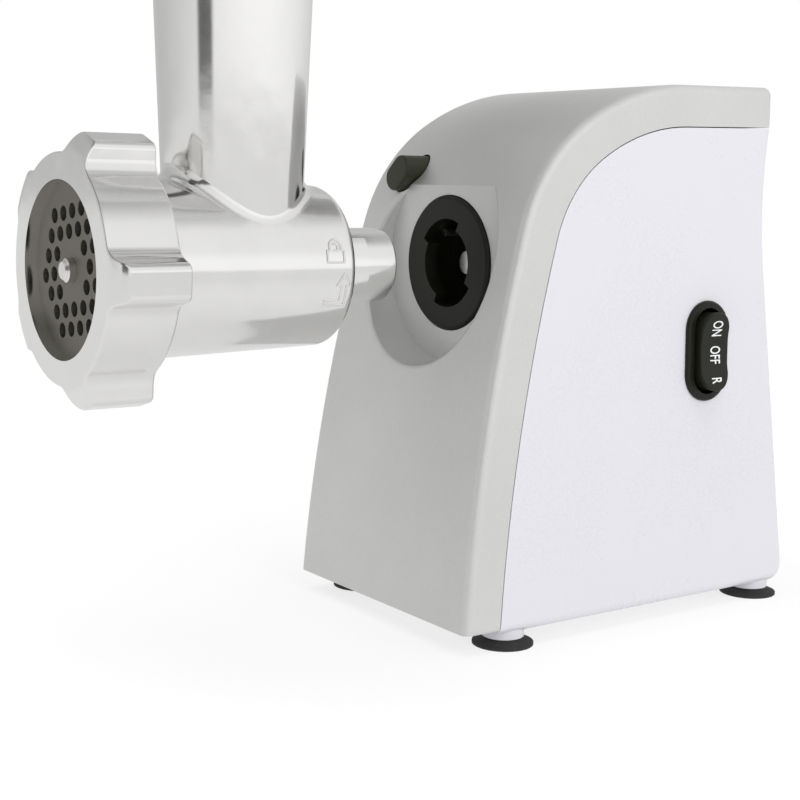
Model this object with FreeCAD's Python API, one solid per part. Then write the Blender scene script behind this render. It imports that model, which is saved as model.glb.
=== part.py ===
import FreeCAD, Part
import math
import os

# Electric meat grinder: an upright motor unit with a bayonet socket on its front, and a cast
# head with feed tube, worm, knife, cutting plate and lobed ring nut, drawn out of the socket.
#
# Working frame: x = 0 is the middle of the motor unit, y = 0 the lower front edge of the front
# cover, z = 0 the cover's lower edge. place() moves everything to the stored frame: origin on
# the standing surface, in the middle of the whole object's box, +Z up, front towards -Y.

V = FreeCAD.Vector
AXIS_X = V(1, 0, 0)
AXIS_Y = V(0, 1, 0)
AXIS_Z = V(0, 0, 1)

# ---- motor unit housing -------------------------------------------------------------------
BODY_HALF_WIDTH = 56.0      # at the cover's lower edge
SIDE_DRAFT = 1.75           # degrees, each side leans in
WALL = 2.5
FRONT_LEAN = 3.6            # degrees back from upright, at the housing's lower edge
FRONT_ARC = (690.0, 12.4)   # radius and turn of the long front curve
SHOULDER_ARC = (67.0, 42.0)
CROWN_ARC = (100.0, 30.5)
TOP_RUN = 46.0              # straight run of the top
REAR_TOP_ARC = 3.0
BAND_END = 9.0              # straight drop at the rear of the top band
REAR_KINK_ARC = (40.0, 9.0)
REAR_ARC = (190.0, 16.5)
HEEL_R = 7.0                # rounding of the housing's rear lower edge
HEEL_LIP = 2.0              # the shell's wall runs on this far under the heel
SKIRT = 2.3                 # white housing reaches this far below the cover
STRIP = 15.7                # width of the cover's side strip
PARTING_GAP = 0.4
EDGE_ROUND = 3.5

# ---- socket and pocket --------------------------------------------------------------------
AXIS_HEIGHT = 129.0         # socket axis above the cover's lower edge
POCKET_R = 38.5
POCKET_FLOOR_Y = 31.0
POCKET_RIM_ROUND = 1.6
RING_R = 25.7
RING_FACE_Y = 29.7
RING_GAP = 0.3
RING_FLANGE_R = 31.0
RING_FLANGE_T = 3.0
LIP_T = 5.6
GROOVE_T = 8.0
GROOVE_R = 17.3
NOTCH_R = 16.9
NOTCH_HALF_ANGLE = 42.0
NOTCH_TURN = 17.0           # notch centre, degrees counter-clockwise of the top, from the front
SLEEVE_R = 21.0
SLEEVE_END_Y = 58.2
RING_SCREW_CIRCLE_R = 28.4

# ---- head ---------------------------------------------------------------------------------
SPIGOT_R = 13.5
SPIGOT_CLEARANCE = 0.08
SPIGOT_LENGTH = 26.6
HEAD_END_Y = -29.2          # rear end face of the barrel, head drawn out
LUG_R = 16.4
LUG_START = 6.2             # from the barrel's end face
LUG_T = 6.3
LUG_HALF_ANGLE = 39.0
BARREL_R_REAR = 28.5
BARREL_R_FRONT = 30.4
BARREL_FRONT_Y = -101.6
BARREL_EDGE_ROUND = 4.0
BARREL_REAR_WALL = 7.0
CHAMBER_R = 26.8
COLLAR_R = 33.4             # threaded collar under the ring nut
COLLAR_END_Y = -121.8
TUBE_Y = -63.3
TUBE_R_BASE = 24.3          # at TUBE_BASE_Z
TUBE_BASE_Z = 152.0
TUBE_DRAFT = 2.2            # degrees
TUBE_TOP_Z = 238.0
TUBE_WALL = 2.7
TUBE_BEAD_R = 29.6
TUBE_BEAD_H = 5.0
CAST_BLEND = 5.0

PLATE_R = 31.0
PLATE_T = 5.0
PLATE_SEAT_CLEARANCE = 0.15
PLATE_HOLE_R = 2.55
PLATE_HOLE_PITCH = 7.3
PLATE_HOLE_RINGS = 3
PLATE_TURN = 8.0
PIN_R = 4.0
RUNNING_CLEARANCE = 0.05
NUT_FACE_Y = -127.0
NUT_LIP_T = 4.4
NUT_OPENING_R = 29.3
NUT_R = 38.1
NUT_LENGTH = 25.0
NUT_LOBES = 5
NUT_LOBE_FIRST = 20.0       # degrees clockwise of the top, from the front
NUT_LOBE_R = 45.6
NUT_LOBE_HALF_WIDTH = 5.6
NUT_LOBE_SPREAD = 4.6       # each flank spreads this much from crest to root
NUT_LOBE_BLEND = 7.0
NUT_LOBE_CORNER = 3.0
NUT_FRONT_ROUND = 9.0       # length of the lobes' rounded front corners
NUT_RIM_ROUND = 2.0         # the front face ends this far inside the nut's radius

KNIFE_R = 26.2
KNIFE_T = 8.0
KNIFE_SQUARE = 9.0
WORM_R = 26.1
WORM_CORE_R = 9.5
WORM_PITCH = 23.0
WORM_BLADE_T = 3.6
WORM_LENGTH = 66.0
JOURNAL_R = 8.0
BUSH_R = 10.2
DRIVE_FLATS = 9.0           # across the flats of the drive hexagon
DRIVE_CLEARANCE = 0.15

TRAY_FLOOR_Z = 240.0
TRAY_FRONT_Y = -121.0
TRAY_REAR_Y = 66.0
TRAY_HALF_WIDTH = 64.0
TRAY_CORNER_R = 34.0
TRAY_DEPTH = 26.0
TRAY_FLARE = 9.0
TRAY_WALL = 1.6
PUSHER_R = 20.6
PUSHER_LENGTH = 62.0
PUSHER_WALL = 2.4
PUSHER_CAP_R = 29.0
PUSHER_GRIP_H = 34.0

# ---- drive train --------------------------------------------------------------------------
MOTOR_Z = 40.0
GEAR_MODULES = (1.0, 1.25, 1.75)
PINION_TEETH = (12, 14, 12)
WHEEL_TEETH = (54, 44, 40)
WHEEL_A_X = 16.0            # first wheel stands this far to the switch side
PLANE_OUT = (62.6, 11.0)    # front face and width of the output stage
PLANE_MID = (75.4, 8.5)
PLANE_IN = (86.0, 7.0)
HOUSING_FRONT_Y = 58.4
HOUSING_REAR_Y = 94.2
HOUSING_WALL = 3.0
TIP_CLEARANCE = 1.4
SHAFT_R = 4.0
OUTPUT_SHAFT_R = 7.0
HEX_TIP_Y = 39.8

STATOR_Y = (108.5, 134.5)
STATOR_HALF = 31.0
ARMATURE_R = 18.5
AIR_GAP = 0.7
FAN_R = 25.0
FAN_Y = (99.5, 103.1)
FAN_BLADES = 12
COMMUTATOR_R = 11.0
COMMUTATOR_Y = (139.0, 148.2)
COMMUTATOR_BARS = 16
BRACKET_Y = (149.6, 152.6)
BEARING_R = 8.0
BEARING_T = 5.0

# ---- controls -----------------------------------------------------------------------------
SWITCH_Y = 118.2
SWITCH_Z = 96.2
BEZEL_LENGTH = 39.4
BEZEL_WIDTH = 22.6
BEZEL_PROUD = 1.8
ROCKER_GAP = 0.5            # along each side
ROCKER_END_GAP = 1.6        # room for the ends to swing
ROCKER_LENGTH = 30.6
ROCKER_WIDTH = 14.8
ROCKER_PROUD = 7.4
ROCKER_ANGLE = 7.0
BUTTON_X = -29.0
BUTTON_Z = 162.9
BUTTON_FACE_Y = 26.0
BUTTON_HALF_LENGTH = 8.0
BUTTON_R = 5.0
BUTTON_TURN = 40.0
BUTTON_GAP = 0.6
BUTTON_TRAVEL = 4.0
LATCH_PIN_R = 1.5

# ---- base and feet ------------------------------------------------------------------------
BASE_Z = 0.5                # underside of the base plate, hidden behind the cover's edge
BASE_T = 3.0
FOOT_X = 47.0
FOOT_FRONT_Y = 24.5
FOOT_REAR_Y = 157.0
STUB_R = 7.8
STUB_END_Z = -5.0
PAD_R = 11.4
FLOOR_Z = -8.2
INLET_Z = 24.0
INLET_BORE_R = 3.7
INLET_R = 6.5
INLET_PROUD = 2.2

# ---- smaller sizes ------------------------------------------------------------------------
BUTTON_EDGE_ROUND = 0.9
LATCH_ARM_Y = 49.0
LATCH_ARM_T = 4.0
LATCH_ARM_HALF_W = 2.4
LATCH_SPRING_SEAT_Y = 64.0
SPRING_SEAT_R = 6.5
SWITCH_NECK = 4.5
SWITCH_DEPTH = 20.0
SWITCH_HALF_W = 9.4
SWITCH_HALF_L = 17.2
ROCKER_SADDLE_X = 4.7
ROCKER_PIN_R = 1.0
PRESSURE_ANGLE = 20.0
BACKLASH = 0.14
ARBOR_R = 3.0
ARMATURE_SLOTS = 12
MOTOR_SEAT_R = 15.0
BOSS_R = 4.0
SCREW_R = 1.7
SCREW_DEPTH = 12.0
COIL_HALF_W = 19.0
COIL_CORE_HALF_W = 10.0
COIL_IN = 21.0
COIL_OUT = 27.0
COIL_END = 5.0
WINDING_END = 3.2
BRUSH_END_X = 29.0
BRUSH_BACK_X = 20.0
NUT_EDGE_ROUND = 0.8
NUT_REAR_ROUND = 1.2
KNIFE_GAP = 0.1
HEX_SOCKET_DEPTH = 13.0
HEX_LEAD_R = 6.2            # round mouth in front of the hex socket, clear of the hexagon's corners
HEX_LEAD_DEPTH = 4.5
PIN_THREAD_R = 2.5
PIN_THREAD_DEPTH = 10.0
PIN_PROUD = 3.4
TRAY_FIT = 0.9
TRAY_COLLAR_H = 12.0
HOUSING_FOOT_Z = 8.0

PLATE_FACE_Y = NUT_FACE_Y + NUT_LIP_T
SPIGOT_END_Y = HEAD_END_Y + SPIGOT_LENGTH
BIG = 300.0


# ============================== small helpers ==============================================

def place(shape):
    stored = shape.copy()
    stored.translate(V(0, -(NUT_FACE_Y + rear_limit_y()) / 2.0, -FLOOR_Z))
    return stored


def save(name, shape):
    place(shape).exportStep("parts/" + name + ".step")


def rod(radius, y0, y1, x=0.0, z=AXIS_HEIGHT):
    return Part.makeCylinder(radius, y1 - y0, V(x, y0, z), AXIS_Y)


def post(radius, z0, z1, x, y):
    return Part.makeCylinder(radius, z1 - z0, V(x, y, z0), AXIS_Z)


def tube(outer, inner, y0, y1, x=0.0, z=AXIS_HEIGHT):
    return rod(outer, y0, y1, x, z).cut(rod(inner, y0 - 1, y1 + 1, x, z))


def block(x0, x1, y0, y1, z0, z1):
    return Part.makeBox(x1 - x0, y1 - y0, z1 - z0, V(x0, y0, z0))


def union(shapes):
    result = shapes[0].multiFuse(shapes[1:]) if len(shapes) > 1 else shapes[0]
    return result.removeSplitter()


def revolve_about_y(points, z=AXIS_HEIGHT, x=0.0):
    """Solid of revolution about a line along Y; points are (y, radius)."""
    corners = [V(x, y, z + r) for y, r in points]
    face = Part.Face(Part.makePolygon(corners + corners[:1]))
    return face.revolve(V(x, 0, z), AXIS_Y, 360)


def revolve_about_z(points, x, y):
    """Solid of revolution about a vertical line; points are (radius, z)."""
    corners = [V(x + r, y, z) for r, z in points]
    face = Part.Face(Part.makePolygon(corners + corners[:1]))
    return face.revolve(V(x, y, 0), AXIS_Z, 360)


def hexagon_rod(across_flats, y0, y1, x=0.0, z=AXIS_HEIGHT):
    radius = across_flats / math.sqrt(3.0)
    corners = [V(x + radius * math.cos(k * math.pi / 3), y0, z + radius * math.sin(k * math.pi / 3))
               for k in range(6)]
    return Part.Face(Part.makePolygon(corners + corners[:1])).extrude(V(0, y1 - y0, 0))


def stadium_prism(half_length, radius, depth, turn=0.0):
    """Slot-shaped prism about the origin: long axis along +X turned in the XZ plane, depth +Y."""
    half_run = half_length - radius
    top = Part.makeLine(V(-half_run, 0, radius), V(half_run, 0, radius))
    right = Part.Arc(V(half_run, 0, radius), V(half_length, 0, 0), V(half_run, 0, -radius)).toShape()
    low = Part.makeLine(V(half_run, 0, -radius), V(-half_run, 0, -radius))
    left = Part.Arc(V(-half_run, 0, -radius), V(-half_length, 0, 0), V(-half_run, 0, radius)).toShape()
    solid = Part.Face(Part.Wire([top, right, low, left])).extrude(V(0, depth, 0))
    solid.rotate(V(0, 0, 0), AXIS_Y, -turn)
    return solid


def moved(shape, x, y, z):
    result = shape.copy()
    result.translate(V(x, y, z))
    return result


def round_edges(solid, radius, wanted):
    """Fillet the edges for which wanted(middle point, edge) is true."""
    picked = []
    for edge in solid.Edges:
        middle = edge.valueAt((edge.FirstParameter + edge.LastParameter) / 2.0)
        if wanted(middle, edge):
            picked.append(edge)
    return solid.makeFillet(radius, picked)


# ============================== housing outline ============================================

class Outline:
    """Path in the YZ plane travelled with the inside on its right, offset inwards by inset."""

    def __init__(self, y, z, heading, inset):
        angle = math.radians(heading)
        self.heading = heading
        self.inset = inset
        self.y = y + inset * math.cos(angle)
        self.z = z - inset * math.sin(angle)
        self.edges = []

    def point(self):
        return V(0, self.y, self.z)

    def line(self, length):
        angle = math.radians(self.heading)
        start = self.point()
        self.y += length * math.sin(angle)
        self.z += length * math.cos(angle)
        self.edges.append(Part.makeLine(start, self.point()))

    def line_to_z(self, z):
        self.line((z - self.z) / math.cos(math.radians(self.heading)))

    def arc(self, radius, turn):
        """Positive turn curves towards the inside."""
        side = 1.0 if turn > 0 else -1.0
        r = radius - side * self.inset
        angle = math.radians(self.heading)
        cy = self.y + side * r * math.cos(angle)
        cz = self.z - side * r * math.sin(angle)
        start = self.point()
        points = []
        for share in (0.5, 1.0):
            a = math.radians(self.heading + turn * share)
            points.append(V(0, cy - side * r * math.cos(a), cz + side * r * math.sin(a)))
        self.edges.append(Part.Arc(start, points[0], points[1]).toShape())
        self.heading += turn
        self.y = points[1].y
        self.z = points[1].z

    def line_to(self, y, z):
        start = self.point()
        self.y = y
        self.z = z
        self.edges.append(Part.makeLine(start, self.point()))


def front_and_top(inset, bottom_z):
    lean = math.radians(FRONT_LEAN)
    path = Outline(bottom_z * math.tan(lean), bottom_z, FRONT_LEAN, inset)
    if bottom_z < -SKIRT:
        path.line_to_z(-SKIRT - inset * math.sin(lean))
    path.arc(*FRONT_ARC)
    path.arc(*SHOULDER_ARC)
    path.arc(*CROWN_ARC)
    path.line(TOP_RUN)
    return path


def close_and_extrude(path, y_first, z_first, half_width):
    path.line_to(y_first, z_first)
    face = Part.Face(Part.Wire(path.edges))
    face.translate(V(-half_width, 0, 0))
    return face.extrude(V(2 * half_width, 0, 0))


def side_outline(inset, bottom_z):
    """The motor unit's full side outline, up the front, over the top and down the rear."""
    path = front_and_top(inset, bottom_z)
    path.arc(REAR_TOP_ARC, 180.0 - path.heading)
    path.line(BAND_END)
    path.arc(*REAR_KINK_ARC)
    path.arc(REAR_ARC[0], -REAR_ARC[1])
    lean = math.sin(math.radians(path.heading))
    path.line_to_z(-SKIRT + HEEL_R * (1.0 + lean) - inset * lean)
    return path


def rear_limit_y():
    """Rearmost point of the housing, on its rounded heel."""
    path = side_outline(0.0, -SKIRT)
    return path.y + HEEL_R * (1.0 + math.cos(math.radians(path.heading)))


def full_side_prism(inset, bottom_z):
    """Prism across x with the full side outline."""
    path = side_outline(inset, bottom_z)
    path.arc(HEEL_R, 270.0 - path.heading)
    start = path.edges[0].Vertexes[0].Point
    if bottom_z < -SKIRT:
        path.line(HEEL_LIP)
        path.line_to(path.y, bottom_z)
    return close_and_extrude(path, start.y, start.z, BIG / 3)


def panel_prism(inset):
    """Prism across x behind the front and top outline offset by inset, open to the rear."""
    path = front_and_top(inset, -30.0)
    start = path.edges[0].Vertexes[0].Point
    path.line(60.0)
    path.line_to(path.y, start.z)
    return close_and_extrude(path, start.y, start.z, BIG / 3)


def half_width_at(z):
    return BODY_HALF_WIDTH - math.tan(math.radians(SIDE_DRAFT)) * z


def side_wedge(inset):
    """Prism along y between the two leaning sides."""
    low = -40.0
    high = 230.0
    shrink = inset / math.cos(math.radians(SIDE_DRAFT))
    a = half_width_at(low) - shrink
    b = half_width_at(high) - shrink
    corners = [V(-a, -40, low), V(a, -40, low), V(b, -40, high), V(-b, -40, high)]
    return Part.Face(Part.makePolygon(corners + corners[:1])).extrude(V(0, 260, 0))


def housing_outer():
    solid = full_side_prism(0.0, -SKIRT).common(side_wedge(0.0))

    def on_side_edge(p, edge):
        return abs(abs(p.x) - half_width_at(p.z)) < 0.01 and p.z > -SKIRT + 0.5
    return round_edges(solid, EDGE_ROUND, on_side_edge)


def housing_inner():
    return full_side_prism(WALL, -SKIRT - 10.0).common(side_wedge(WALL))


def onto_side(shape, y, z, side=1):
    """Turn a shape built on the plane x = 0 (outwards +X) onto the leaning side at y, z."""
    result = shape.copy()
    result.rotate(V(0, 0, 0), AXIS_Y, -SIDE_DRAFT)
    result.translate(V(half_width_at(z), y, z))
    if side < 0:
        result = result.mirror(V(0, 0, 0), AXIS_X)
    return result


# ============================== housing parts ==============================================

def button_slot(grow, y0, y1):
    slot = stadium_prism(BUTTON_HALF_LENGTH + grow, BUTTON_R + grow, y1 - y0, BUTTON_TURN)
    return moved(slot, BUTTON_X, y0, BUTTON_Z)


def front_cover(outer, inner):
    shell = outer.cut(inner).cut(panel_prism(STRIP))
    shell = shell.cut(block(-BIG, BIG, -BIG, BIG, -50, 0))
    backing = rod(POCKET_R + WALL, -20, POCKET_FLOOR_Y + WALL).common(outer)
    backing = backing.fuse(button_slot(BUTTON_GAP + 2.0, 20, 46).common(outer))
    shell = shell.fuse(backing)
    shell = shell.cut(rod(POCKET_R, -20, POCKET_FLOOR_Y))

    def on_pocket_rim(p, edge):
        radius = math.hypot(p.x, p.z - AXIS_HEIGHT)
        on_wall = abs(radius - POCKET_R) < 0.02 and p.y < POCKET_FLOOR_Y - 1.0
        return on_wall and edge.Length > 20.0
    shell = round_edges(shell, POCKET_RIM_ROUND, on_pocket_rim)
    shell = shell.cut(rod(RING_R + RING_GAP, 20, 50))
    shell = shell.cut(rod(RING_FLANGE_R + RING_GAP, POCKET_FLOOR_Y + WALL, 50))
    shell = shell.cut(button_slot(BUTTON_GAP, 0, 60))
    for x, z in ring_screw_places():
        shell = shell.cut(rod(1.25, POCKET_FLOOR_Y + 0.6, 50, x, z))
    return shell


def switch_opening():
    cutter = stadium_prism(BEZEL_LENGTH / 2 - 1.4, BEZEL_WIDTH / 2 - 1.4, 40)
    cutter.rotate(V(0, 0, 0), AXIS_Y, -90)
    cutter.rotate(V(0, 0, 0), AXIS_Z, -90)
    cutter.translate(V(-20, 0, 0))
    return onto_side(cutter, SWITCH_Y, SWITCH_Z)


def body_shell(outer, inner):
    shell = outer.cut(inner).common(panel_prism(STRIP + PARTING_GAP))
    shell = shell.cut(switch_opening())
    shell = shell.cut(rod(INLET_R - 1.0, 140, 190, 0.0, INLET_Z))
    for x, y in foot_places():
        shell = shell.cut(post(STUB_R + 0.3, -20, BASE_Z, x, y))
    for x in vent_places():
        for z in vent_rows():
            slot = stadium_prism(7.0, 1.3, 60)
            shell = shell.cut(moved(slot, x, 130, z))
    return shell


def vent_places():
    return (-20.0, 0.0, 20.0)


def vent_rows():
    return [44.0 + 6.0 * k for k in range(9)]


def base_plate(inner):
    top = BASE_Z + BASE_T
    slab = inner.common(block(-BIG, BIG, -BIG, BIG, BASE_Z, top))
    parts = [slab]
    for x, y in foot_places():
        parts.append(post(STUB_R, STUB_END_Z, BASE_Z, x, y))
        parts.append(post(STUB_R - 2.0, top, top + 8.0, x, y).common(inner))
    parts.append(block(-20, 20, HOUSING_FRONT_Y + 4, HOUSING_REAR_Y - 4, top, HOUSING_FOOT_Z))
    plate = union(parts)
    for k in range(7):
        y = 112.0 + 6.0 * k
        plate = plate.cut(block(-16, 16, y, y + 2.6, -20, 20))
    for x, y in foot_places():
        plate = plate.cut(post(1.7, -20, top + 4, x, y))
    return plate


def foot_places():
    return [(x, y) for x in (-FOOT_X, FOOT_X) for y in (FOOT_FRONT_Y, FOOT_REAR_Y)]


def foot_pads():
    pads = []
    for x, y in foot_places():
        profile = [(0, STUB_END_Z), (STUB_R - 0.6, STUB_END_Z), (STUB_R + 0.4, STUB_END_Z - 0.9),
                   (PAD_R, FLOOR_Z + 0.9), (PAD_R, FLOOR_Z), (PAD_R - 1.6, FLOOR_Z),
                   (PAD_R - 4.0, FLOOR_Z + 1.1), (4.4, FLOOR_Z + 1.4), (3.2, FLOOR_Z + 1.0),
                   (0, FLOOR_Z + 1.0)]
        pad = revolve_about_z(profile, x, y)
        pads.append(pad.cut(post(1.7, -20, 5, x, y)).cut(post(3.0, -20, FLOOR_Z + 1.9, x, y)))
    return Part.makeCompound(pads)


def foot_screws():
    screws = []
    for x, y in foot_places():
        head = post(2.8, FLOOR_Z + 0.8, FLOOR_Z + 1.9, x, y)
        slot = block(x - 3, x + 3, y - 0.4, y + 0.4, FLOOR_Z + 0.7, FLOOR_Z + 1.2)
        shank = post(1.7, FLOOR_Z + 1.9, BASE_Z + BASE_T + 3.5, x, y)
        screws.append(head.fuse(shank).cut(slot).removeSplitter())
    return Part.makeCompound(screws)


def rear_face_y(z):
    """Outer rear face of the housing at height z, on its straight lower run."""
    path = side_outline(0.0, -SKIRT)
    slope = math.tan(math.radians(path.heading))
    return path.y + slope * (z - path.z)


def cord_gland():
    face = rear_face_y(INLET_Z)
    flange = tube(INLET_R + 1.5, INLET_BORE_R, face - 0.2, face + INLET_PROUD, 0.0, INLET_Z)
    flange = flange.cut(full_side_prism(0.0, -SKIRT))
    body = tube(INLET_R - 1.0, INLET_BORE_R, face - 8.0, face + 1.0, 0.0, INLET_Z)
    return union([flange, body])


# ============================== socket and lock ============================================

def ring_screw_places():
    places = []
    for k in range(4):
        a = math.radians(45 + 90 * k)
        places.append((RING_SCREW_CIRCLE_R * math.cos(a), AXIS_HEIGHT + RING_SCREW_CIRCLE_R * math.sin(a)))
    return places


def sector(radius, half_angle, centre_angle, y0, y1):
    """Pie-shaped prism about the head's axis; centre_angle from the top, clockwise from the front."""
    def at(angle):
        a = math.radians(angle)
        return V(radius * math.sin(a), y0, AXIS_HEIGHT + radius * math.cos(a))
    hub = V(0, y0, AXIS_HEIGHT)
    first = at(centre_angle - half_angle)
    last = at(centre_angle + half_angle)
    arc = Part.Arc(first, at(centre_angle), last).toShape()
    wire = Part.Wire([Part.makeLine(hub, first), arc, Part.makeLine(last, hub)])
    return Part.Face(wire).extrude(V(0, y1 - y0, 0))


def socket_ring():
    back = POCKET_FLOOR_Y + WALL
    lip_end = RING_FACE_Y + LIP_T
    bore_r = SPIGOT_R + SPIGOT_CLEARANCE
    face = rod(RING_R, RING_FACE_Y, back)

    def front_rim(p, edge):
        return abs(p.y - RING_FACE_Y) < 0.01
    face = round_edges(face, 1.6, front_rim)
    ring = union([face, rod(RING_FLANGE_R, back, back + RING_FLANGE_T), rod(SLEEVE_R, back, SLEEVE_END_Y)])
    ring = ring.cut(rod(bore_r, 0, 80))
    ring = ring.cut(rod(GROOVE_R, lip_end, lip_end + GROOVE_T))
    for centre in (-NOTCH_TURN, 180.0 - NOTCH_TURN):
        ring = ring.cut(sector(NOTCH_R, NOTCH_HALF_ANGLE, centre, 0, lip_end + 1))
    x, z = latch_pin_place()
    ring = ring.cut(rod(LATCH_PIN_R + RUNNING_CLEARANCE, lip_end + 1, 80, x, z))
    slot_half = LATCH_ARM_HALF_W + 0.4
    ring = ring.cut(latch_bar(slot_half, SLEEVE_R + 5.0, LATCH_ARM_Y - 0.5, SLEEVE_END_Y + 1))
    ring = ring.cut(rod(slot_half, LATCH_ARM_Y - 0.5, SLEEVE_END_Y + 1, x, z))
    for sx, sz in ring_screw_places():
        ring = ring.cut(rod(1.25, 0, 80, sx, sz))
    return ring


def ring_screws():
    screws = []
    back = POCKET_FLOOR_Y + WALL + RING_FLANGE_T
    for x, z in ring_screw_places():
        head = rod(2.4, back, back + 1.6, x, z)
        shank = rod(1.25, POCKET_FLOOR_Y + 0.6, back, x, z)
        slot = block(x - 3, x + 3, back + 1.0, back + 2.0, z - 0.3, z + 0.3)
        screws.append(head.fuse(shank).cut(slot).removeSplitter())
    return Part.makeCompound(screws)


def latch_pin_place():
    """The pin stands just past the locked lug, on the button's side."""
    angle = math.radians(-90.0 + LUG_HALF_ANGLE + 7.5)
    radius = (SPIGOT_R + GROOVE_R) / 2.0 + 0.15
    return radius * math.sin(angle), AXIS_HEIGHT + radius * math.cos(angle)


def latch_direction():
    """Angle of the latch arm, from the pin out to the button, from +X towards +Z."""
    x, z = latch_pin_place()
    return math.atan2(BUTTON_Z - z, BUTTON_X - x)


def latch_bar(half_width, length, y0, y1):
    """Bar across the housing from the latch pin's place out towards the button."""
    bar = block(0, length, y0, y1, -half_width, half_width)
    bar.rotate(V(0, 0, 0), AXIS_Y, -math.degrees(latch_direction()))
    x, z = latch_pin_place()
    return moved(bar, x, 0, z)


def lock_button():
    """Push button, its collar behind the cover and the arm that draws the latch pin back."""
    arm_end = LATCH_ARM_Y + LATCH_ARM_T
    button = button_slot(0.0, BUTTON_FACE_Y, arm_end)

    def face_rim(p, edge):
        return abs(p.y - BUTTON_FACE_Y) < 0.01
    button = round_edges(button, BUTTON_EDGE_ROUND, face_rim)
    stop = button_slot(BUTTON_GAP + 1.2, LATCH_ARM_Y - 1.5, arm_end)
    x, z = latch_pin_place()
    arm = latch_bar(LATCH_ARM_HALF_W, math.hypot(BUTTON_X - x, BUTTON_Z - z), LATCH_ARM_Y, arm_end)
    boss = rod(LATCH_ARM_HALF_W, LATCH_ARM_Y, arm_end, x, z)
    solid = union([button, stop, arm, boss])
    solid = solid.cut(rod(SPIGOT_R + 0.6, 0, 80))
    return solid.cut(rod(LATCH_PIN_R, 0, 80, x, z))


def latch_pin():
    """Steel pin in the arm's end; its tip stands in the ring's groove and stops the lug."""
    x, z = latch_pin_place()
    return rod(LATCH_PIN_R, RING_FACE_Y + LIP_T + 1.6, LATCH_ARM_Y + LATCH_ARM_T, x, z)


def coil_spring(coil_r, wire_r, length, turns):
    """Helical spring along +Y from the origin."""
    pitch = (length - 2 * wire_r) / turns
    helix = Part.makeHelix(pitch, length - 2 * wire_r, coil_r)
    circle = Part.makeCircle(wire_r, V(coil_r, 0, 0), V(0, 1, pitch / (2 * math.pi * coil_r)))
    spring = Part.Wire(helix.Edges).makePipeShell([Part.Wire(circle)], True, True)
    spring.rotate(V(0, 0, 0), AXIS_X, -90)
    return moved(spring, 0, wire_r, 0)


def latch_spring():
    """Between the button's rear face and its seat on the gearbox."""
    start = LATCH_ARM_Y + LATCH_ARM_T
    spring = coil_spring(3.2, 0.45, LATCH_SPRING_SEAT_Y - start, 5)
    return moved(spring, BUTTON_X, start, BUTTON_Z)


# ============================== switch =====================================================

def outwards(shape):
    """Turn a prism built along +Y with its long axis along +X onto +X, long axis upright."""
    result = shape.copy()
    result.rotate(V(0, 0, 0), AXIS_Y, 90)
    result.rotate(V(0, 0, 0), AXIS_Z, -90)
    return result


def switch_bezel():
    rim = outwards(stadium_prism(BEZEL_LENGTH / 2, BEZEL_WIDTH / 2, BEZEL_PROUD))

    def outer_rim(p, edge):
        return abs(p.x - BEZEL_PROUD) < 0.01
    rim = round_edges(rim, 1.2, outer_rim)
    neck = outwards(stadium_prism(BEZEL_LENGTH / 2 - 1.5, BEZEL_WIDTH / 2 - 1.5, SWITCH_NECK))
    frame = rim.fuse(moved(neck, -SWITCH_NECK, 0, 0))
    well = outwards(stadium_prism(ROCKER_LENGTH / 2 + ROCKER_END_GAP, ROCKER_WIDTH / 2 + ROCKER_GAP, 40))
    frame = frame.cut(moved(well, -20, 0, 0)).removeSplitter()
    return onto_side(frame, SWITCH_Y, SWITCH_Z)


def switch_body():
    """Contact housing behind the bezel, with two pivot ears for the rocker and three tabs."""
    box = block(-SWITCH_DEPTH, -SWITCH_NECK, -SWITCH_HALF_W, SWITCH_HALF_W, -SWITCH_HALF_L, SWITCH_HALF_L)
    well = block(-SWITCH_NECK - 5.0, 0, -SWITCH_HALF_W + 1.2, SWITCH_HALF_W - 1.2,
                 -SWITCH_HALF_L + 1.5, SWITCH_HALF_L - 1.5)
    parts = [box.cut(well)]
    for k in (-1, 0, 1):
        parts.append(block(-SWITCH_DEPTH - 6.0, -SWITCH_DEPTH, -3.0, 3.0, 10.0 * k - 0.4, 10.0 * k + 0.4))
    solid = union(parts).cut(rocker_axle(0.0))
    return onto_side(solid, SWITCH_Y, SWITCH_Z)


def rocker_axis_depth():
    return -SWITCH_NECK - 1.2


def switch_rocker():
    """Saddle-faced rocker on an axle across the switch."""
    half = ROCKER_LENGTH / 2
    low = ROCKER_SADDLE_X
    top = Part.Arc(V(ROCKER_PROUD, 0, half), V(low, 0, 0), V(ROCKER_PROUD, 0, -half)).toShape()
    back = rocker_axis_depth() - 1.5
    ends = [V(ROCKER_PROUD, 0, -half), V(0, 0, -half), V(back, 0, -half * 0.35),
            V(back, 0, half * 0.35), V(0, 0, half), V(ROCKER_PROUD, 0, half)]
    sides = [Part.makeLine(ends[k], ends[k + 1]) for k in range(5)]
    face = Part.Face(Part.Wire([top] + sides))
    face.translate(V(0, -ROCKER_WIDTH / 2, 0))
    solid = face.extrude(V(0, ROCKER_WIDTH, 0))
    shape = outwards(stadium_prism(half, ROCKER_WIDTH / 2, 60))
    solid = solid.common(moved(shape, -30, 0, 0))

    def face_rim(p, edge):
        return p.x > 0.5 and edge.Length > 10
    solid = round_edges(solid, 0.5, face_rim).cut(rocker_axle(RUNNING_CLEARANCE))
    return onto_side(solid, SWITCH_Y, SWITCH_Z)


def rocker_axle(grow):
    start = V(rocker_axis_depth(), -SWITCH_HALF_W, 0)
    return Part.makeCylinder(ROCKER_PIN_R + grow, 2 * SWITCH_HALF_W, start, AXIS_Y)


def switch_pin():
    return onto_side(rocker_axle(0.0), SWITCH_Y, SWITCH_Z)


# ============================== gear train =================================================

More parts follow.
